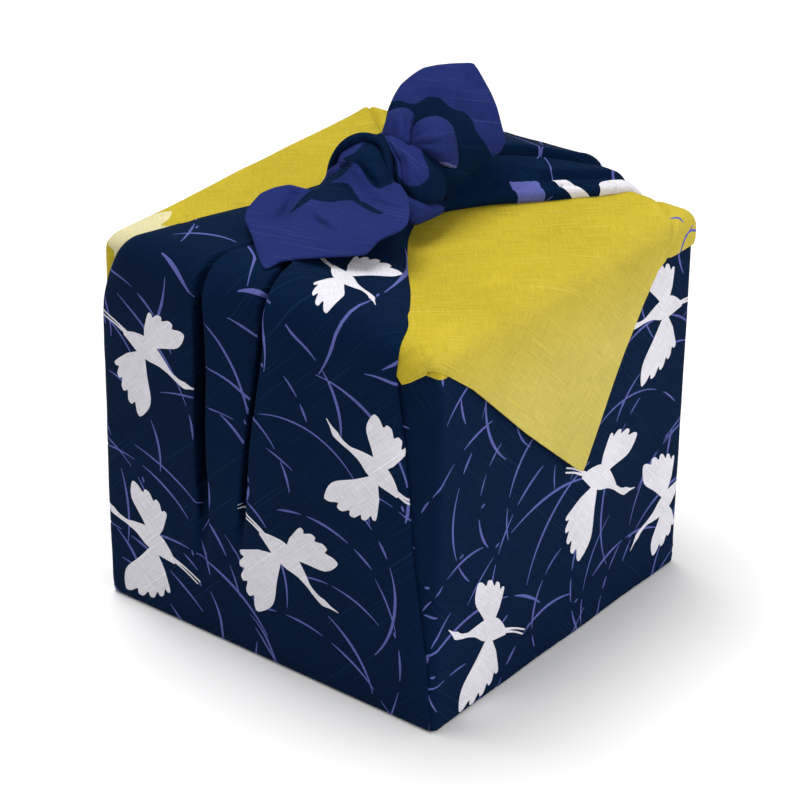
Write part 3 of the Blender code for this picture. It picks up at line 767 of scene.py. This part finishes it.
        # the foot of the panel, which turns under the cube, and the cube's upright edges
        raised = smooth(-4 * MM, 8 * MM, up)
        stand = stand * raised - (1 - raised) * SHEET * 0.6
        upright = np.clip(np.abs(x) - HALF + UPRIGHT_RADIUS, 0, UPRIGHT_RADIUS * 0.98)
        stand -= UPRIGHT_RADIUS - np.sqrt(UPRIGHT_RADIUS ** 2 - upright ** 2)
        side, height, heading = round_cube(way)
        return np.stack([
            -self.side * x,
            self.side * (side + np.sin(heading) * stand),
            height - np.cos(heading) * stand,
        ], axis=1)

    def to_cloth(self, flat):
        return flat * (-self.side, self.side)


# --- The knot ---
# The knot's own frame, in millimetres: to the right, up, and towards the viewer.
CAMERA_AIM = Vector((0.0022, -0.0023, 0.0843))
CAMERA_AZIMUTH = math.radians(37.45)
CAMERA_ELEVATION = math.radians(28.74)
CAMERA_DISTANCE = 1.380
CAMERA_ROLL = math.radians(1.02)
CAMERA_LENS = 155.06             # on a 36 mm frame
BACK_WAY = Vector((math.sin(CAMERA_AZIMUTH) * math.cos(CAMERA_ELEVATION),
                   -math.cos(CAMERA_AZIMUTH) * math.cos(CAMERA_ELEVATION),
                   math.sin(CAMERA_ELEVATION)))
CAMERA_TURN = BACK_WAY.to_track_quat("Z", "Y").to_matrix() @ Matrix.Rotation(CAMERA_ROLL, 3, "Z")
KNOT_AXES = np.array(CAMERA_TURN).T
KNOT_MIDDLE = np.array((-0.01166, -0.0060, 0.18285))
KNOT_SPACING = 0.8 * MM


def from_knot(places):
    """World places of points given in the knot's frame, in millimetres."""
    return KNOT_MIDDLE + np.asarray(places) * MM @ KNOT_AXES


def smooth_surface(known):
    """A soft surface through known points (right, up, towards): a function of right and up."""
    known = np.array(known, float)

    def pull(places):
        apart = ((places[:, None] - known[None, :, :2]) ** 2).sum(-1)
        return 0.5 * apart * np.log(apart + 1e-9)

    count = len(known)
    system = np.zeros((count + 3, count + 3))
    system[:count, :count] = pull(known[:, :2]) + np.eye(count) * 0.5
    system[:count, count:] = np.hstack([np.ones((count, 1)), known[:, :2]])
    system[count:, :count] = system[:count, count:].T
    weights = np.linalg.solve(system, np.concatenate([known[:, 2], np.zeros(3)]))
    return lambda places: pull(places) @ weights[:count] + weights[count] + places @ weights[count + 1:]


# A fold of the knot as it faces the viewer: its outline, places with their depth, the creases on
# it, painted areas, the cloth's ground colour, how round its edge is rolled back, how the threads
# are turned, and its lean, the degrees that the cloth leans away from facing the viewer, so that it
# is longer than it looks.
Fold = namedtuple("Fold", "name outline depths creases paints ground edge_round thread_turn lean")


def painted(paints):
    return [Shape(ink, soft_ring(points)) for ink, points in paints]


def fold_sheet(fold):
    outline = soft_ring(fold.outline)
    depth = smooth_surface(fold.depths)
    turn = math.radians(fold.thread_turn)

    def place(flat):
        near = flat / MM
        inner = np.clip(edge_distance(flat, outline) / (fold.edge_round * MM), 0, 1)
        towards = depth(near) - fold.edge_round * (1 - np.sqrt(1 - (1 - inner) ** 2))
        towards += crease_relief(flat, fold.creases) / MM + ripples(flat, len(fold.name), 0.016, 0.16)
        return from_knot(np.column_stack([near, towards]))

    def to_cloth(flat):
        x, y = flat.T
        return np.column_stack([x * math.cos(turn) + y * math.sin(turn),
                                (y * math.cos(turn) - x * math.sin(turn)) * 1.2])

    cloth_sheet(fold.name, outline, place, painted(fold.paints), KNOT_SPACING, fold.ground, to_cloth)


# A band of cloth laid out flat: its width and length in millimetres as cut, and rows of points
# that it passes through in the knot's frame, from its near end to its far end.
Net = namedtuple("Net", "name width length rows creases paints ground")


def rectangle(x0, y0, x1, y1):
    return np.array(((x0, y0), (x1, y0), (x1, y1), (x0, y1)))


def even_steps(surface):
    """How far along the first direction each row lies, from 0 to 1, by its mean distance."""
    steps = np.linalg.norm(np.diff(surface, axis=0), axis=2).mean(1)
    return np.concatenate([[0], np.cumsum(steps)]) / steps.sum()


def net_sheet(net):
    rows = spline(net.rows, 10)
    surface = spline(rows.transpose(1, 0, 2), 10).transpose(1, 0, 2)
    along, across = even_steps(surface), even_steps(surface.transpose(1, 0, 2))
    slope = unit(np.cross(np.gradient(surface, axis=1), np.gradient(surface, axis=0)))

    def place(flat):
        row = np.interp(flat[:, 1] / (net.length * MM), along, np.arange(len(along)))
        column = np.interp(flat[:, 0] / (net.width * MM), across, np.arange(len(across)))
        relief = crease_relief(flat, net.creases) / MM + ripples(flat, len(net.name), 0.014, 0.10)
        return from_knot(read_grid(surface, row, column) + read_grid(slope, row, column) * relief[:, None])

    outline = rectangle(0, 0, net.width, net.length) * MM
    cloth_sheet(net.name, outline, place, painted(net.paints), KNOT_SPACING, net.ground)


# The band that binds the knot: it comes from underneath, up the near side, over and down behind.
BAND = Net(
    "knot_band", 24, 70,
    (((13, -11, 2), (16.5, -14, 3), (19.5, -16.5, 4), (22.8, -16.5, 3), (26, -14.5, 1)),
     ((12, -8, 9), (15.8, -11.6, 11), (19.5, -14.8, 12), (22.8, -15.2, 10.5), (26.2, -13.6, 7)),
     ((10.5, -6.5, 13.5), (14.5, -9.5, 16.5), (19, -12, 17.5), (24, -12.6, 15), (28.3, -11.4, 9.5)),
     ((9.5, -2.5, 13.5), (13.5, -4.5, 17.5), (18.5, -6, 18.5), (24, -7, 15.5), (29.3, -7.7, 8.5)),
     ((8.5, 3, 11.5), (13, 1.5, 16), (18, 0, 17.5), (23.5, -1, 15), (28.5, -2, 8.5)),
     ((6, 9, 9.5), (10, 7, 13.5), (16, 5, 15), (21, 4, 12.5), (26, 3.4, 7)),
     ((2, 13.1, 6), (8, 12, 8.5), (14, 9.5, 9.5), (19, 8.3, 8.5), (23, 7.5, 5)),
     ((2, 12.4, 1), (8.5, 11.6, 2.5), (14.5, 9.4, 2.5), (19.5, 8, 1.5), (23.5, 7, 0)),
     ((4, 8, -5), (10, 7, -5.5), (15.5, 5, -6), (20.5, 4, -5.5), (25, 3.5, -5)),
     ((6, 1, -9), (11, 0, -10), (16, -2, -10.5), (21, -3, -10), (26, -3, -8.5)),
     ((7, -6, -10), (12, -7, -11), (17, -9, -12), (22, -9.5, -11), (27, -9, -10))),
    ((2.5, 0, 2.5, 60, 0.7, 0.7), (4.6, 4, 4.2, 66, 0.6, -0.6), (8.5, 8, 10.5, 62, 1.2, 0.5),
     (13.5, 6, 13, 52, 0.8, -0.6), (16.8, 4, 17.6, 68, 0.9, 0.6), (21, 6, 20, 66, 0.8, -0.5)),
    ((VIOLET, ((3.4, 19), (8, 17), (13, 18.5), (16.2, 22), (16.4, 30), (17.4, 38), (18.8, 46), (19, 56),
      (16, 66), (9, 70), (4.5, 60), (3.6, 44), (3.2, 30))),),
    NAVY)

# The loop that holds the front tail's root. Its near edge is folded double: inside, lip, outside.
HOOD = Net(
    "knot_hood", 56, 33,
    (((-14.2, -7, -4), (-13, -0.5, -2), (-10.4, 4.8, 2), (-6.2, 8.4, 5), (-1.4, 9.4, 6.5), (2.6, 7.2, 8.5),
      (5, 2.2, 11), (6.2, -5, 12.5)),
     ((-14.6, -7.4, 1.6), (-13.6, 0.6, 5.2), (-10.8, 6, 9), (-6.4, 9.6, 11.4), (-1.4, 10.5, 12.6),
      (3.2, 8.2, 14.2), (5.6, 2.8, 16.6), (6.9, -6.8, 18.2)),
     ((-15.7, -7.8, 3), (-14.9, 1.2, 6.6), (-11.8, 7.2, 10.4), (-7, 10.9, 12.8), (-1.4, 12, 14),
      (3.9, 9.8, 15.4), (6.8, 3.4, 17.8), (8, -7, 19.4)),
     ((-16.8, -8, 1.4), (-16, 1.4, 5), (-12.7, 7.9, 9), (-7.4, 12.1, 11.4), (-1.4, 13.3, 12.6),
      (4.6, 10.9, 14), (7.6, 3.8, 16.2), (8.8, -7.2, 17.6)),
     ((-16.4, -9, -6), (-15.4, 0.6, -2.5), (-11.8, 6.8, 1), (-6.4, 10.8, 3.4), (0, 11.9, 4.6),
      (6.2, 9.8, 6), (9.4, 3, 8.4), (10.2, -7.5, 9.6)),
     ((-12.5, -10, -14), (-10.5, -1.5, -11.5), (-6.5, 3.6, -9), (-1, 6.6, -7), (5, 7.4, -5.6),
      (10.4, 5.6, -4.4), (13, 0, -2.4), (13.5, -8, -1)),
     ((-7.5, -12, -17), (-5, -5.5, -16.5), (-1, -2, -15.5), (4, -0.5, -14), (9, -0.5, -12.5),
      (13, -1.5, -11), (15.5, -5, -9), (16, -9, -7))),
    ((10, 12, 16, 32, 1.4, -0.6), (22, 12, 26, 33, 1.6, 0.7), (33, 13, 32, 33, 1.2, -0.6),
     (43, 12, 39, 32, 1.5, 0.6)),
    (), NAVY)

FRONT_TAIL = Fold(
    "front_tail",
    ((-16.9, -2.8), (-15.3, 2), (-12.8, 6.4), (-9.2, 9.4), (-5, 11.2), (-1, 11.8), (2.5, 11), (5, 9),
     (6.6, 5), (7.6, 1), (8.6, -3), (9.6, -6), (11.8, -7.2), (13.8, -10.5), (14.9, -14), (15.1, -19),
     (14.3, -23), (11.5, -25.8), (4.1, -29.2), (0.8, -32.9), (-2, -35), (-14.3, -35.8), (-26.6, -36.6),
     (-32.8, -37.5), (-38.4, -40.3), (-41, -36.5), (-43.9, -28.1), (-47.2, -20.5), (-46.6, -16.5),
     (-44.2, -13), (-41.6, -10), (-36.6, -7.7), (-30.8, -6.6), (-26.6, -7.7), (-22.5, -8.6), (-19, -6.2)),
    ((-12, 3, 7), (-6.3, 8.6, 11), (-2.4, 9.6, 12.5), (1.6, 8.4, 13.5), (5, 5, 14.5), (6.5, 1.5, 16),
     (-14.3, 0.5, 7), (-11.2, 3.2, 11.5), (-7.3, 5.3, 15), (-2.8, 6, 17.5), (1.6, 4.5, 18.8), (4.6, 1, 19),
     (-16.8, -3.2, 7.5), (-12.8, -1.5, 13.5), (-8.5, -0.3, 17), (-3.5, 0.4, 20.5), (1.5, -1, 22),
     (5.5, -3.4, 21.5), (8.6, -6, 19.5), (-23.5, -6.3, 10), (-18.5, -6.8, 13), (-13, -7, 17),
     (-6.5, -7.3, 20.5), (-0.5, -7.8, 23.5), (5.5, -8.6, 24.3), (11.2, -8.6, 21), (-33, -7.9, 11.8),
     (-26, -10.2, 15.5), (-19, -12, 19.8), (-11, -13, 23.8), (-2.5, -13.8, 27.3), (6.5, -14, 29),
     (14.7, -13.4, 27.2), (-42, -11.3, 14.8), (-34.5, -14.8, 19.5), (-26.5, -17, 24.5),
     (-17.5, -18.2, 28.8), (-7.5, -19, 32.5), (4, -19.5, 35), (15.3, -20, 36), (-46.8, -17.5, 21),
     (-39.5, -20.8, 26), (-31, -22.6, 30.5), (-21.5, -23.5, 34.5), (-12, -24, 38), (-1, -24.3, 40.5),
     (12.6, -25, 42.2), (-46.3, -24, 30), (-39.5, -27, 34.5), (-31.5, -28.5, 38.5), (-23, -28.8, 41),
     (-14, -28.8, 43.5), (-5, -28.5, 45), (4.5, -28.8, 45.8), (-42.7, -31.5, 39.5), (-36.5, -33.5, 43.5),
     (-22, -33.5, 47), (-6.5, -32.5, 48.4), (-38.8, -40.3, 51.5), (-27, -37, 50.2), (-13, -35.6, 50.6),
     (-1.8, -34.8, 51.2)),
    ((-6, 3, -24.5, -9.8, 1.3, -3.2), (-18, -5.5, -34, -20.5, 1.8, -1.6), (-5.5, 2.5, 5, -10.5, 1.2, -1.9),
     (-9, -4.2, -3, -13.5, 1.5, 0.8), (-22.5, -20, -11.5, -26, 1.1, -0.9),
     (-1, -12.5, 12, -18.5, 1.2, -0.8), (-30, -12, -43, -20, 2.4, 1), (-14, -16, -32, -34, 2.8, 0.6),
     (-2, -17, -8, -33, 2.6, -0.6), (-13, 3, -9.5, 7.5, 1.2, 0.9), (-27, -6, -37, -26, 1.6, -1.3),
     (-24, -17, -13, -28, 1.3, -1), (-22, -16, -10, -27, 1.6, 0.9), (2, -12, 15, -16, 1.3, 0.9),
     (-27.8, -7, -35.1, -24, 3, -2.6), (-15, -13, -30, -38, 4, -1.6)),
    ((NAVY, ((-10, 3.4), (-5.7, 5.2), (-3.3, 7.7), (-1.4, 10.4), (-1, 13), (6, 13), (9.5, 7.1), (9.6, -0.9),
       (9.4, -5.8), (6.6, -7.6), (4.1, -8.9), (1.7, -8.3), (-0.8, -5.5), (-2.6, -2.2), (-4.5, 0.9),
       (-6.9, 1.5))),
     (NAVY, ((-22.9, -12), (-20.4, -8.9), (-16.8, -6.4), (-12.5, -6), (-8.2, -6.7), (-6.3, -8.9),
       (-4.8, -11.4), (-3.3, -14.1), (-8.2, -13.5), (-14.3, -14.1), (-19.3, -13.5))),
     (NAVY, ((-6.1, -13.5), (-2, -14.3), (1.7, -16.6), (5.7, -18.9), (3.5, -19.2), (0.4, -18.1),
       (-2.7, -16.2))),
     # The last navy area, along the deep crease, is partly the navy ground that shows in the fold and partly
     # painted shade of the crease.
     (NAVY, ((-7.6, 2.4), (-12.2, -1.2), (-17.4, -4.6), (-21, -7.4), (-25.4, -11.4), (-30.4, -18.4),
       (-25.6, -15.2), (-22, -12.6), (-19, -8.6), (-14, -5.6), (-10, -3.2), (-6.6, 0.4)))),
    VIOLET, 0.5, 28, 49)

LOWER_FOLD = Fold(
    "knot_under_fold",
    ((12.2, -9), (16, -11), (20, -13), (25, -13.5), (28.6, -15), (27.5, -17.3), (23.4, -19.6), (18, -21.9),
     (15.3, -21.4), (14.1, -18), (13.2, -13)),
    ((13, -10, 16), (14.5, -20, 19), (18, -15, 19), (22, -18, 16.5), (28, -15, 10), (20, -13, 16)),
    ((14, -13, 26, -17.5, 1, 0.6),), (), VIOLET, 2.4, 10, 35)

LOBE = Fold(
    "knot_lobe",
    ((15, 9.6), (15.8, 12.5), (16.8, 15.6), (18.6, 18), (21.4, 19.6), (25.6, 20.3), (29.3, 18.9),
     (31.8, 16.3), (33.1, 12), (33.8, 7.1), (34, 2.8), (33, 0.6), (28.7, 1.4), (25.6, 2.9), (22.6, 4.6),
     (19, 6.4), (16.2, 7.6)),
    ((15.5, 10, 8.5), (19, 11, 11.5), (20, 16, 10.5), (26, 18, 10), (25, 12, 14), (23, 7, 13),
     (31, 14, 10.5), (31, 8, 12), (30, 3, 11), (33.5, 3, 8.5), (33.2, 10, 8)),
    ((15.5, 10.5, 29, 17.5, 0.9, -0.7), (15.5, 10, 33, 13, 1, 0.5), (15.5, 9.5, 33, 9, 0.8, -0.6),
     (16, 8.8, 33, 4.5, 1, 0.6), (16, 8.2, 29, 2.6, 0.8, -0.5)),
    # The lilac strip along the lobe's lower edge is a painted highlight where its rolled hem catches the
    # light.
    ((LILAC, ((26.6, 2.7), (29.4, 2.5), (32, 1.7), (33.6, 1), (33.2, 0.4), (31, 0.7), (28.6, 1.4))),),
    VIOLET, 3.2, 60, 35)

PETAL = Fold(
    "knot_petal",
    ((4.6, 12.5), (5.2, 15.5), (6.5, 19.4), (7.4, 22.4), (10.3, 23.7), (14, 23.9), (16.6, 22.6),
     (17.8, 20.4), (17, 17.5), (16, 13.9), (15.6, 9.6), (12.7, 9.2), (9.6, 10.2), (6.6, 11.6)),
    ((5.5, 13, 4), (7.5, 19, 4), (9, 22.5, 3), (11.5, 18, 8), (10.5, 12, 9), (14.5, 21, 5), (16.5, 19, 4),
     (14.8, 14, 8.5), (14.5, 10, 10)),
    ((8.5, 23, 9.5, 10.5, 0.9, -0.7), (12, 24, 12, 10, 1.2, 0.6), (14.5, 23, 13.8, 10, 0.8, -0.6)),
    (), VIOLET, 2.6, 80, 30)

BACK_TAIL = Fold(
    "back_tail",
    ((12, -2), (5.6, 9), (5.4, 13.9), (7, 22.7), (9.3, 28.6), (12, 33.2), (16.4, 37.2), (20.7, 40),
     (26, 41.2), (31.2, 41.8), (36, 42.1), (40.3, 42), (43.5, 37.2), (47.2, 30.5), (49.6, 24.3),
     (51.2, 18.1), (52.7, 12), (50.4, 7.6), (46.6, 5.4), (40, 0), (34, -4), (24, -5)),
    ((12, -2, -2), (18, -3, 0), (29, -4.5, 0), (40, 0, -7), (6, 9, -1), (12, 8, 3), (19, 6.5, 4.5),
     (28, 5, 3.5), (38, 4, -2), (47.5, 5, -8.5), (5.6, 15, -1), (13, 15, 2.5), (22, 14, 4), (32, 13, 2.5),
     (43, 11.5, -3.5), (52.7, 11.5, -9.8), (7, 22.5, -2), (14.5, 22, 1), (23, 21.5, 2.2), (32.5, 21, 0.5),
     (42, 19.5, -4.2), (51.3, 18, -9.5), (9.6, 29.3, -3.5), (17, 29.5, -1.5), (25, 29.5, -0.8),
     (33, 29, -2.2), (41.5, 27.5, -5.5), (49, 26, -9.5), (13.5, 35.3, -5.5), (19.5, 36.3, -4.5),
     (26.5, 37, -4.2), (33.5, 37, -5.2), (40, 36, -7.5), (46.3, 32.5, -10), (20.5, 39.8, -7),
     (31, 41.8, -7.2), (40, 42, -9)),
    ((26, 34, 22, 12, 2.4, -0.9), (34, 38, 30, 10, 3, 0.7), (15, 34, 14, 14, 2.4, 0.7),
     (30, 26, 52, 14, 1.8, -0.6), (28, 33, 48, 25, 2, 0.5)),
    ((NAVY, ((3, 23), (7.5, 26.2), (11.5, 27), (15.5, 25.6), (18.5, 25.8), (22.5, 28.4), (27, 28), (30, 25),
      (32.5, 23.4), (36.5, 22.6), (39.5, 19.6), (41, 15.4), (43.6, 12), (46.4, 8), (48, 3), (42, -5),
      (30, -9), (5, -2))),),
    VIOLET, 0.5, 35, 11)

# Rolled cloth inside the knot, which fills it where its folds part: the points of a roll's
# middle line in the knot's frame, and half its width and thickness there, in millimetres.
ROLLS = {
    "knot_heart": (
        (-13, -9, -2, 4.5, 3.5), (-8, -3, 1, 7, 5), (-2, 0.5, 3, 8, 6), (5, 0, 4, 8.5, 6.5),
        (12, -2, 4, 8, 6.5), (19, -3, 3, 7.5, 6), (25, -3, 0.5, 5.5, 4.5)),
    "knot_tail_root": (
        (12, -2, -3, 5, 4), (14, 5, -2.5, 7, 4.6), (17, 11, -2, 8, 4), (21, 17, -2.6, 7.5, 2.4)),
}
ROLL_LAP = 0.5               # radians by which a roll's edge lies over its start


def roll_sheet(name, table):
    """A flattened roll of creased cloth swept along a line."""
    line = spline(table, 8)
    middle = line[:, :3]
    lengths = np.concatenate([[0], np.cumsum(np.linalg.norm(np.diff(middle, axis=0), axis=1))])
    run = unit(np.gradient(middle, axis=0))
    sideways = unit(np.cross(run, (0.0, 0.0, 1.0)))
    outward = unit(np.cross(sideways, run))
    around = 2 * math.pi + ROLL_LAP
    girth = float(np.mean(line[:, 3] + line[:, 4])) * around / 2

    def place(flat):
        angle = flat[:, 0] / (girth * MM) * around - math.pi / 2
        way = flat[:, 1] / MM

        def at(values):
            return np.column_stack([np.interp(way, lengths, column) for column in values.T])

        swirl = way / lengths[-1] * 2.2
        ridge = 1 + 0.07 * np.sin(5 * angle + swirl) + 0.05 * np.sin(9 * angle - 2 * swirl)
        out = (ridge * (1 + 0.10 * smooth(0, around, angle + math.pi / 2)))[:, None]
        return from_knot(at(middle) + at(sideways) * at(line[:, 3:4]) * np.cos(angle)[:, None] * out
                         + at(outward) * at(line[:, 4:5]) * np.sin(angle)[:, None] * out)

    outline = rectangle(0, 0, girth, lengths[-1]) * MM
    cloth_sheet(name, outline, place, [], 1.4 * MM, NAVY, turned_over=True)


# --- Materials ---
def node(tree, kind, **settings):
    """Makes a node. A setting's name is a socket's or a property's; "_" stands for a space."""
    made = tree.nodes.new(kind)
    for name, value in settings.items():
        socket = name.replace("_", " ")
        if socket in made.inputs:
            made.inputs[socket].default_value = value
        else:
            setattr(made, name, value)
    return made


def matt_material(name):
    """A new material, its nodes and its shader."""
    material = bpy.data.materials.new(name)
    material.use_nodes = True
    shader = material.node_tree.nodes["Principled BSDF"]
    shader.inputs["Roughness"].default_value = 0.9
    return material, material.node_tree, shader


def cloth_material(name, colour, slub, slub_share, sheen, hanging_side_light=None):
    """Plain-woven slubbed cotton: uneven threads both ways, with long thick ones along U. Past the
    edge that the flap hangs over, the colour turns to painted light, if the ink has one: a colour
    that stands for the duller light on the upright hanging flap."""
    material, tree, shader = matt_material(name)
    link = tree.links.new
    shader.inputs["Specular IOR Level"].default_value = 0.05
    shader.inputs["Sheen Weight"].default_value = sheen
    shader.inputs["Sheen Roughness"].default_value = 0.45
    place = node(tree, "ShaderNodeUVMap", uv_map="cloth")

    def threads(along, across, detail, offset=0.0):
        mapping = node(tree, "ShaderNodeMapping", Scale=(along, across, 1), Location=(3.1 + offset, 7.7, 0))
        link(place.outputs["UV"], mapping.inputs["Vector"])
        noise = node(tree, "ShaderNodeTexNoise", noise_dimensions="2D", Scale=1.0, Detail=detail,
                     Roughness=0.5)
        link(mapping.outputs["Vector"], noise.inputs["Vector"])
        return noise.outputs["Fac"]

    def ramp(value, low, high):
        made = node(tree, "ShaderNodeMapRange", interpolation_type="SMOOTHSTEP", From_Min=low, From_Max=high)
        link(value, made.inputs["Value"])
        return made.outputs["Result"]

    def maths(operation, a, b):
        made = node(tree, "ShaderNodeMath", operation=operation)
        for socket, value in zip(made.inputs, (a, b)):
            if isinstance(value, float):
                socket.default_value = value
            else:
                link(value, socket)
        return made.outputs["Value"]

    def mixed(a, b, factor):
        made = node(tree, "ShaderNodeMix", data_type="RGBA", blend_type="MIX", A=(*a, 1), B=(*b, 1))
        link(factor, made.inputs["Factor"])
        return made

    weft = threads(90, 2600, 1.0)
    warp = threads(2400, 110, 1.0, 5.0)
    slubs = ramp(threads(15, 1150, 1.0, 9.0), 0.70, 0.76)
    fine_slubs = ramp(threads(34, 1700, 1.0, 13.0), 0.64, 0.74)
    cloudy = threads(28, 34, 3.0, 21.0)
    grain = maths("ADD", weft, warp)
    streaks = maths("MAXIMUM", slubs, maths("MULTIPLY", fine_slubs, 0.55))
    mix = mixed(colour, slub, maths("MULTIPLY", streaks, slub_share))
    # Painted light: past the far edge the colour turns to one that stands for the duller light on the
    # hanging flap.
    if hanging_side_light:
        apart = node(tree, "ShaderNodeSeparateXYZ")
        link(place.outputs["UV"], apart.inputs["Vector"])
        past = maths("MULTIPLY", maths("SUBTRACT", apart.outputs["X"], apart.outputs["Y"]), math.sqrt(0.5))
        link(mixed(colour, hanging_side_light, ramp(past, *HANGING_LIGHT_SPAN)).outputs["Result"], mix.inputs["A"])
    shade = maths("ADD", maths("MULTIPLY", grain, 0.30), maths("MULTIPLY", cloudy, 0.26))
    tint = node(tree, "ShaderNodeHueSaturation")
    link(maths("ADD", shade, 0.55), tint.inputs["Value"])
    link(mix.outputs["Result"], tint.inputs["Color"])
    link(tint.outputs["Color"], shader.inputs["Base Color"])
    bump = node(tree, "ShaderNodeBump", Strength=0.55, Distance=0.00025)
    link(maths("ADD", maths("MULTIPLY", grain, 0.5), maths("MULTIPLY", streaks, 1.2)), bump.inputs["Height"])
    link(bump.outputs["Normal"], shader.inputs["Normal"])
    return material


# Where the yellow turns to its painted light for the hanging flap, on the flat cloth.
HANGING_LIGHT_SPAN = (FAR_EDGE - 20 * MM, FAR_EDGE + 50 * MM)
# Each ink's own colour, the colour of its thick threads, how strongly they show, its sheen, and,
# # if it has one, the painted light of the hanging flap: a colour for the duller light that the upright flap
# gets.
FACE_INKS = (
    ("navy", (0.0006, 0.0090, 0.0330), (0.005, 0.025, 0.064), 0.50, 0.002),
    ("lilac", (0.092, 0.106, 0.340), (0.20, 0.22, 0.48), 0.40, 0.01),
    ("white", (0.660, 0.645, 0.700), (0.84, 0.83, 0.86), 0.60, 0.01),
    ("yellow", (0.470, 0.365, 0.026), (0.66, 0.56, 0.09), 0.45, 0.01, (0.520, 0.430, 0.100)),
    ("violet", (0.0130, 0.0225, 0.1180), (0.045, 0.058, 0.210), 0.45, 0.01),
    ("cream", (0.640, 0.580, 0.330), (0.78, 0.73, 0.50), 0.50, 0.01),
)
REVERSE_PALENESS = 0.07


def paler(colour):
    return tuple(value + (0.55 - value) * REVERSE_PALENESS for value in colour)


MATERIALS = [cloth_material(*ink) for ink in FACE_INKS]
MATERIALS += [cloth_material(name + "_reverse", paler(colour), paler(slub), share, sheen, *map(paler, hanging_side_light))
              for name, colour, slub, share, sheen, *hanging_side_light in FACE_INKS]


# --- Building the pieces ---
PRINT = grass() + [shape for row in BIRDS for shape in bird(*row)]
YELLOW_EDGE = (FLAP_X + 34) * MM              # the flap's yellow starts here, on the far side
OTHER_YELLOW_EDGE = TOP_EDGE - 0.008          # and the opposite corner's here, under the flap
NEAR_CORNER = np.array((FLAP_X, -SIDE_X))     # the cube's corner under the cream patch
CREAM_PATCH = ((1, -14), (2, 3), (3, 17), (-3, 24), (-8, 31), (-12, 25), (-14, 18), (-20, 22), (-31, 30),
               (-31, 17), (-27, 3), (-24, -16))
FAR_CORNER = np.array((HANG_X, SIDE_X))       # and the one with three lilac arcs by it
FAR_ARCS = (((-18, -14), (-10, -10), (-5, -3)), ((-8, -9), (-7, -4), (-10, 1)),
            ((4, -12), (1, -9), (-2, -8)))
ARC_HALF_WIDTHS = (0.0002, 0.0005, 0.0005, 0.0002)
on_strip = [shape for shape in PRINT if shape.outline[:, 0].min() > YELLOW_EDGE - 0.005]
on_strip += [Shape(YELLOW, rectangle(-0.52, -0.2, YELLOW_EDGE, 0.2)),
             Shape(YELLOW, rectangle(OTHER_YELLOW_EDGE, -0.2, 0.4, 0.2)),
             Shape(CREAM, soft_ring(NEAR_CORNER + CREAM_PATCH))]
on_strip += [Shape(LILAC, stroke(spline((FAR_CORNER + arc) * MM, 5), ARC_HALF_WIDTHS)) for arc in FAR_ARCS]
strip_points = np.vstack([along_creases(STRIP_CREASES), across_tight_edges()])
cloth_sheet("wrapped_strip", strip_outline(), strip_place, on_strip, extra=strip_points, turned_over=True)

# Patches on the roll along the back panel's right edge: the ink, and how far up the panel and
# across the roll each of their points lies, in millimetres.
ROLL_PATCHES = (
    (LILAC, ((197, 2.5), (201, 3.2), (205, 2.5), (205.5, 0), (205, -8), (201, -10), (197.5, -8),
      (196.5, 0))),
    (WHITE, ((191.5, 3), (189, 3.6), (187, 2), (184.5, -2), (181, -7), (183, -10), (186.5, -8),
      (189.5, -3))),
    (WHITE, ((177, 0), (172, 1.5), (166, 3), (160, 6), (152, 7), (150, 0), (150, -8), (156, -9.5),
      (164, -10), (172, -10), (177, -9), (178.5, -5))),
)


def on_roll(panel, points):
    up, across = np.array(points, float).T * MM
    _, shift = panel.folds(up)
    return np.column_stack([panel.edges["left"](up) - shift + across, up + HALF]) / MM


front = Panel(FRONT_PANEL, FRONT_PLEATS, -1, VALLEY_SINK, VALLEY_WALL, 11)
back = Panel(BACK_PANEL, BACK_PLEATS, 1, 0.0, SOFT_VALLEY_WALL, 21)
patches = painted((ink, on_roll(back, points)) for ink, points in ROLL_PATCHES)
for name, panel, own in (("front_panel", front, front.plain_valleys()), ("back_panel", back, patches)):
    # The way from the panel's flat coordinates to the cloth's is also the way back.
    shapes = [Shape(shape.ink, panel.to_cloth(shape.outline)) for shape in PRINT] + own
    cloth_sheet(name, panel.outline(), panel.place, shapes, to_cloth=panel.to_cloth,
                extra=panel.extra_points())

for fold in (FRONT_TAIL, LOWER_FOLD, LOBE, PETAL, BACK_TAIL):
    fold_sheet(fold)
for net in (BAND, HOOD):
    net_sheet(net)
for name, table in ROLLS.items():
    roll_sheet(name, table)


# --- Stage ---
FLOOR_SIDE = 6.0


def stage():
    bpy.ops.mesh.primitive_plane_add(size=FLOOR_SIDE, location=(0, 0, -0.0002))
    floor = bpy.context.object
    floor.name = "floor"
    material, _, shader = matt_material("pale_floor")
    shader.inputs["Base Color"].default_value = (0.95, 0.95, 0.95, 1)
    floor.data.materials.append(material)


def area_light(name, place, aim, size, power):
    data = bpy.data.lights.new(name, "AREA")
    data.shape = "DISK"
    data.size = size
    data.energy = power
    lamp = add(name, data)
    lamp.location = place
    lamp.rotation_euler = (Vector(aim) - Vector(place)).to_track_quat("-Z", "Y").to_euler()


def lights():
    world = bpy.data.worlds.new("white_studio")
    world.use_nodes = True
    background = world.node_tree.nodes["Background"]
    background.inputs["Color"].default_value = (1, 1, 1, 1)
    background.inputs["Strength"].default_value = 0.54
    bpy.context.scene.world = world
    area_light("top_soft_box", (-0.35, 0.0, 1.6), (0, 0, 0.1), 0.9, 19)
    area_light("side_fill", (1.7, -0.25, 0.7), (0, 0, 0.1), 0.9, 13)


def camera():
    data = bpy.data.cameras.new("camera")
    data.lens = CAMERA_LENS
    data.sensor_width = 36
    data.clip_end = 20
    thing = add("camera", data)
    place = Matrix.Translation(CAMERA_AIM + BACK_WAY * CAMERA_DISTANCE)
    thing.matrix_world = place @ CAMERA_TURN.to_4x4()
    bpy.context.scene.camera = thing


stage()
lights()
camera()
bpy.context.scene.view_settings.view_transform = "Standard"
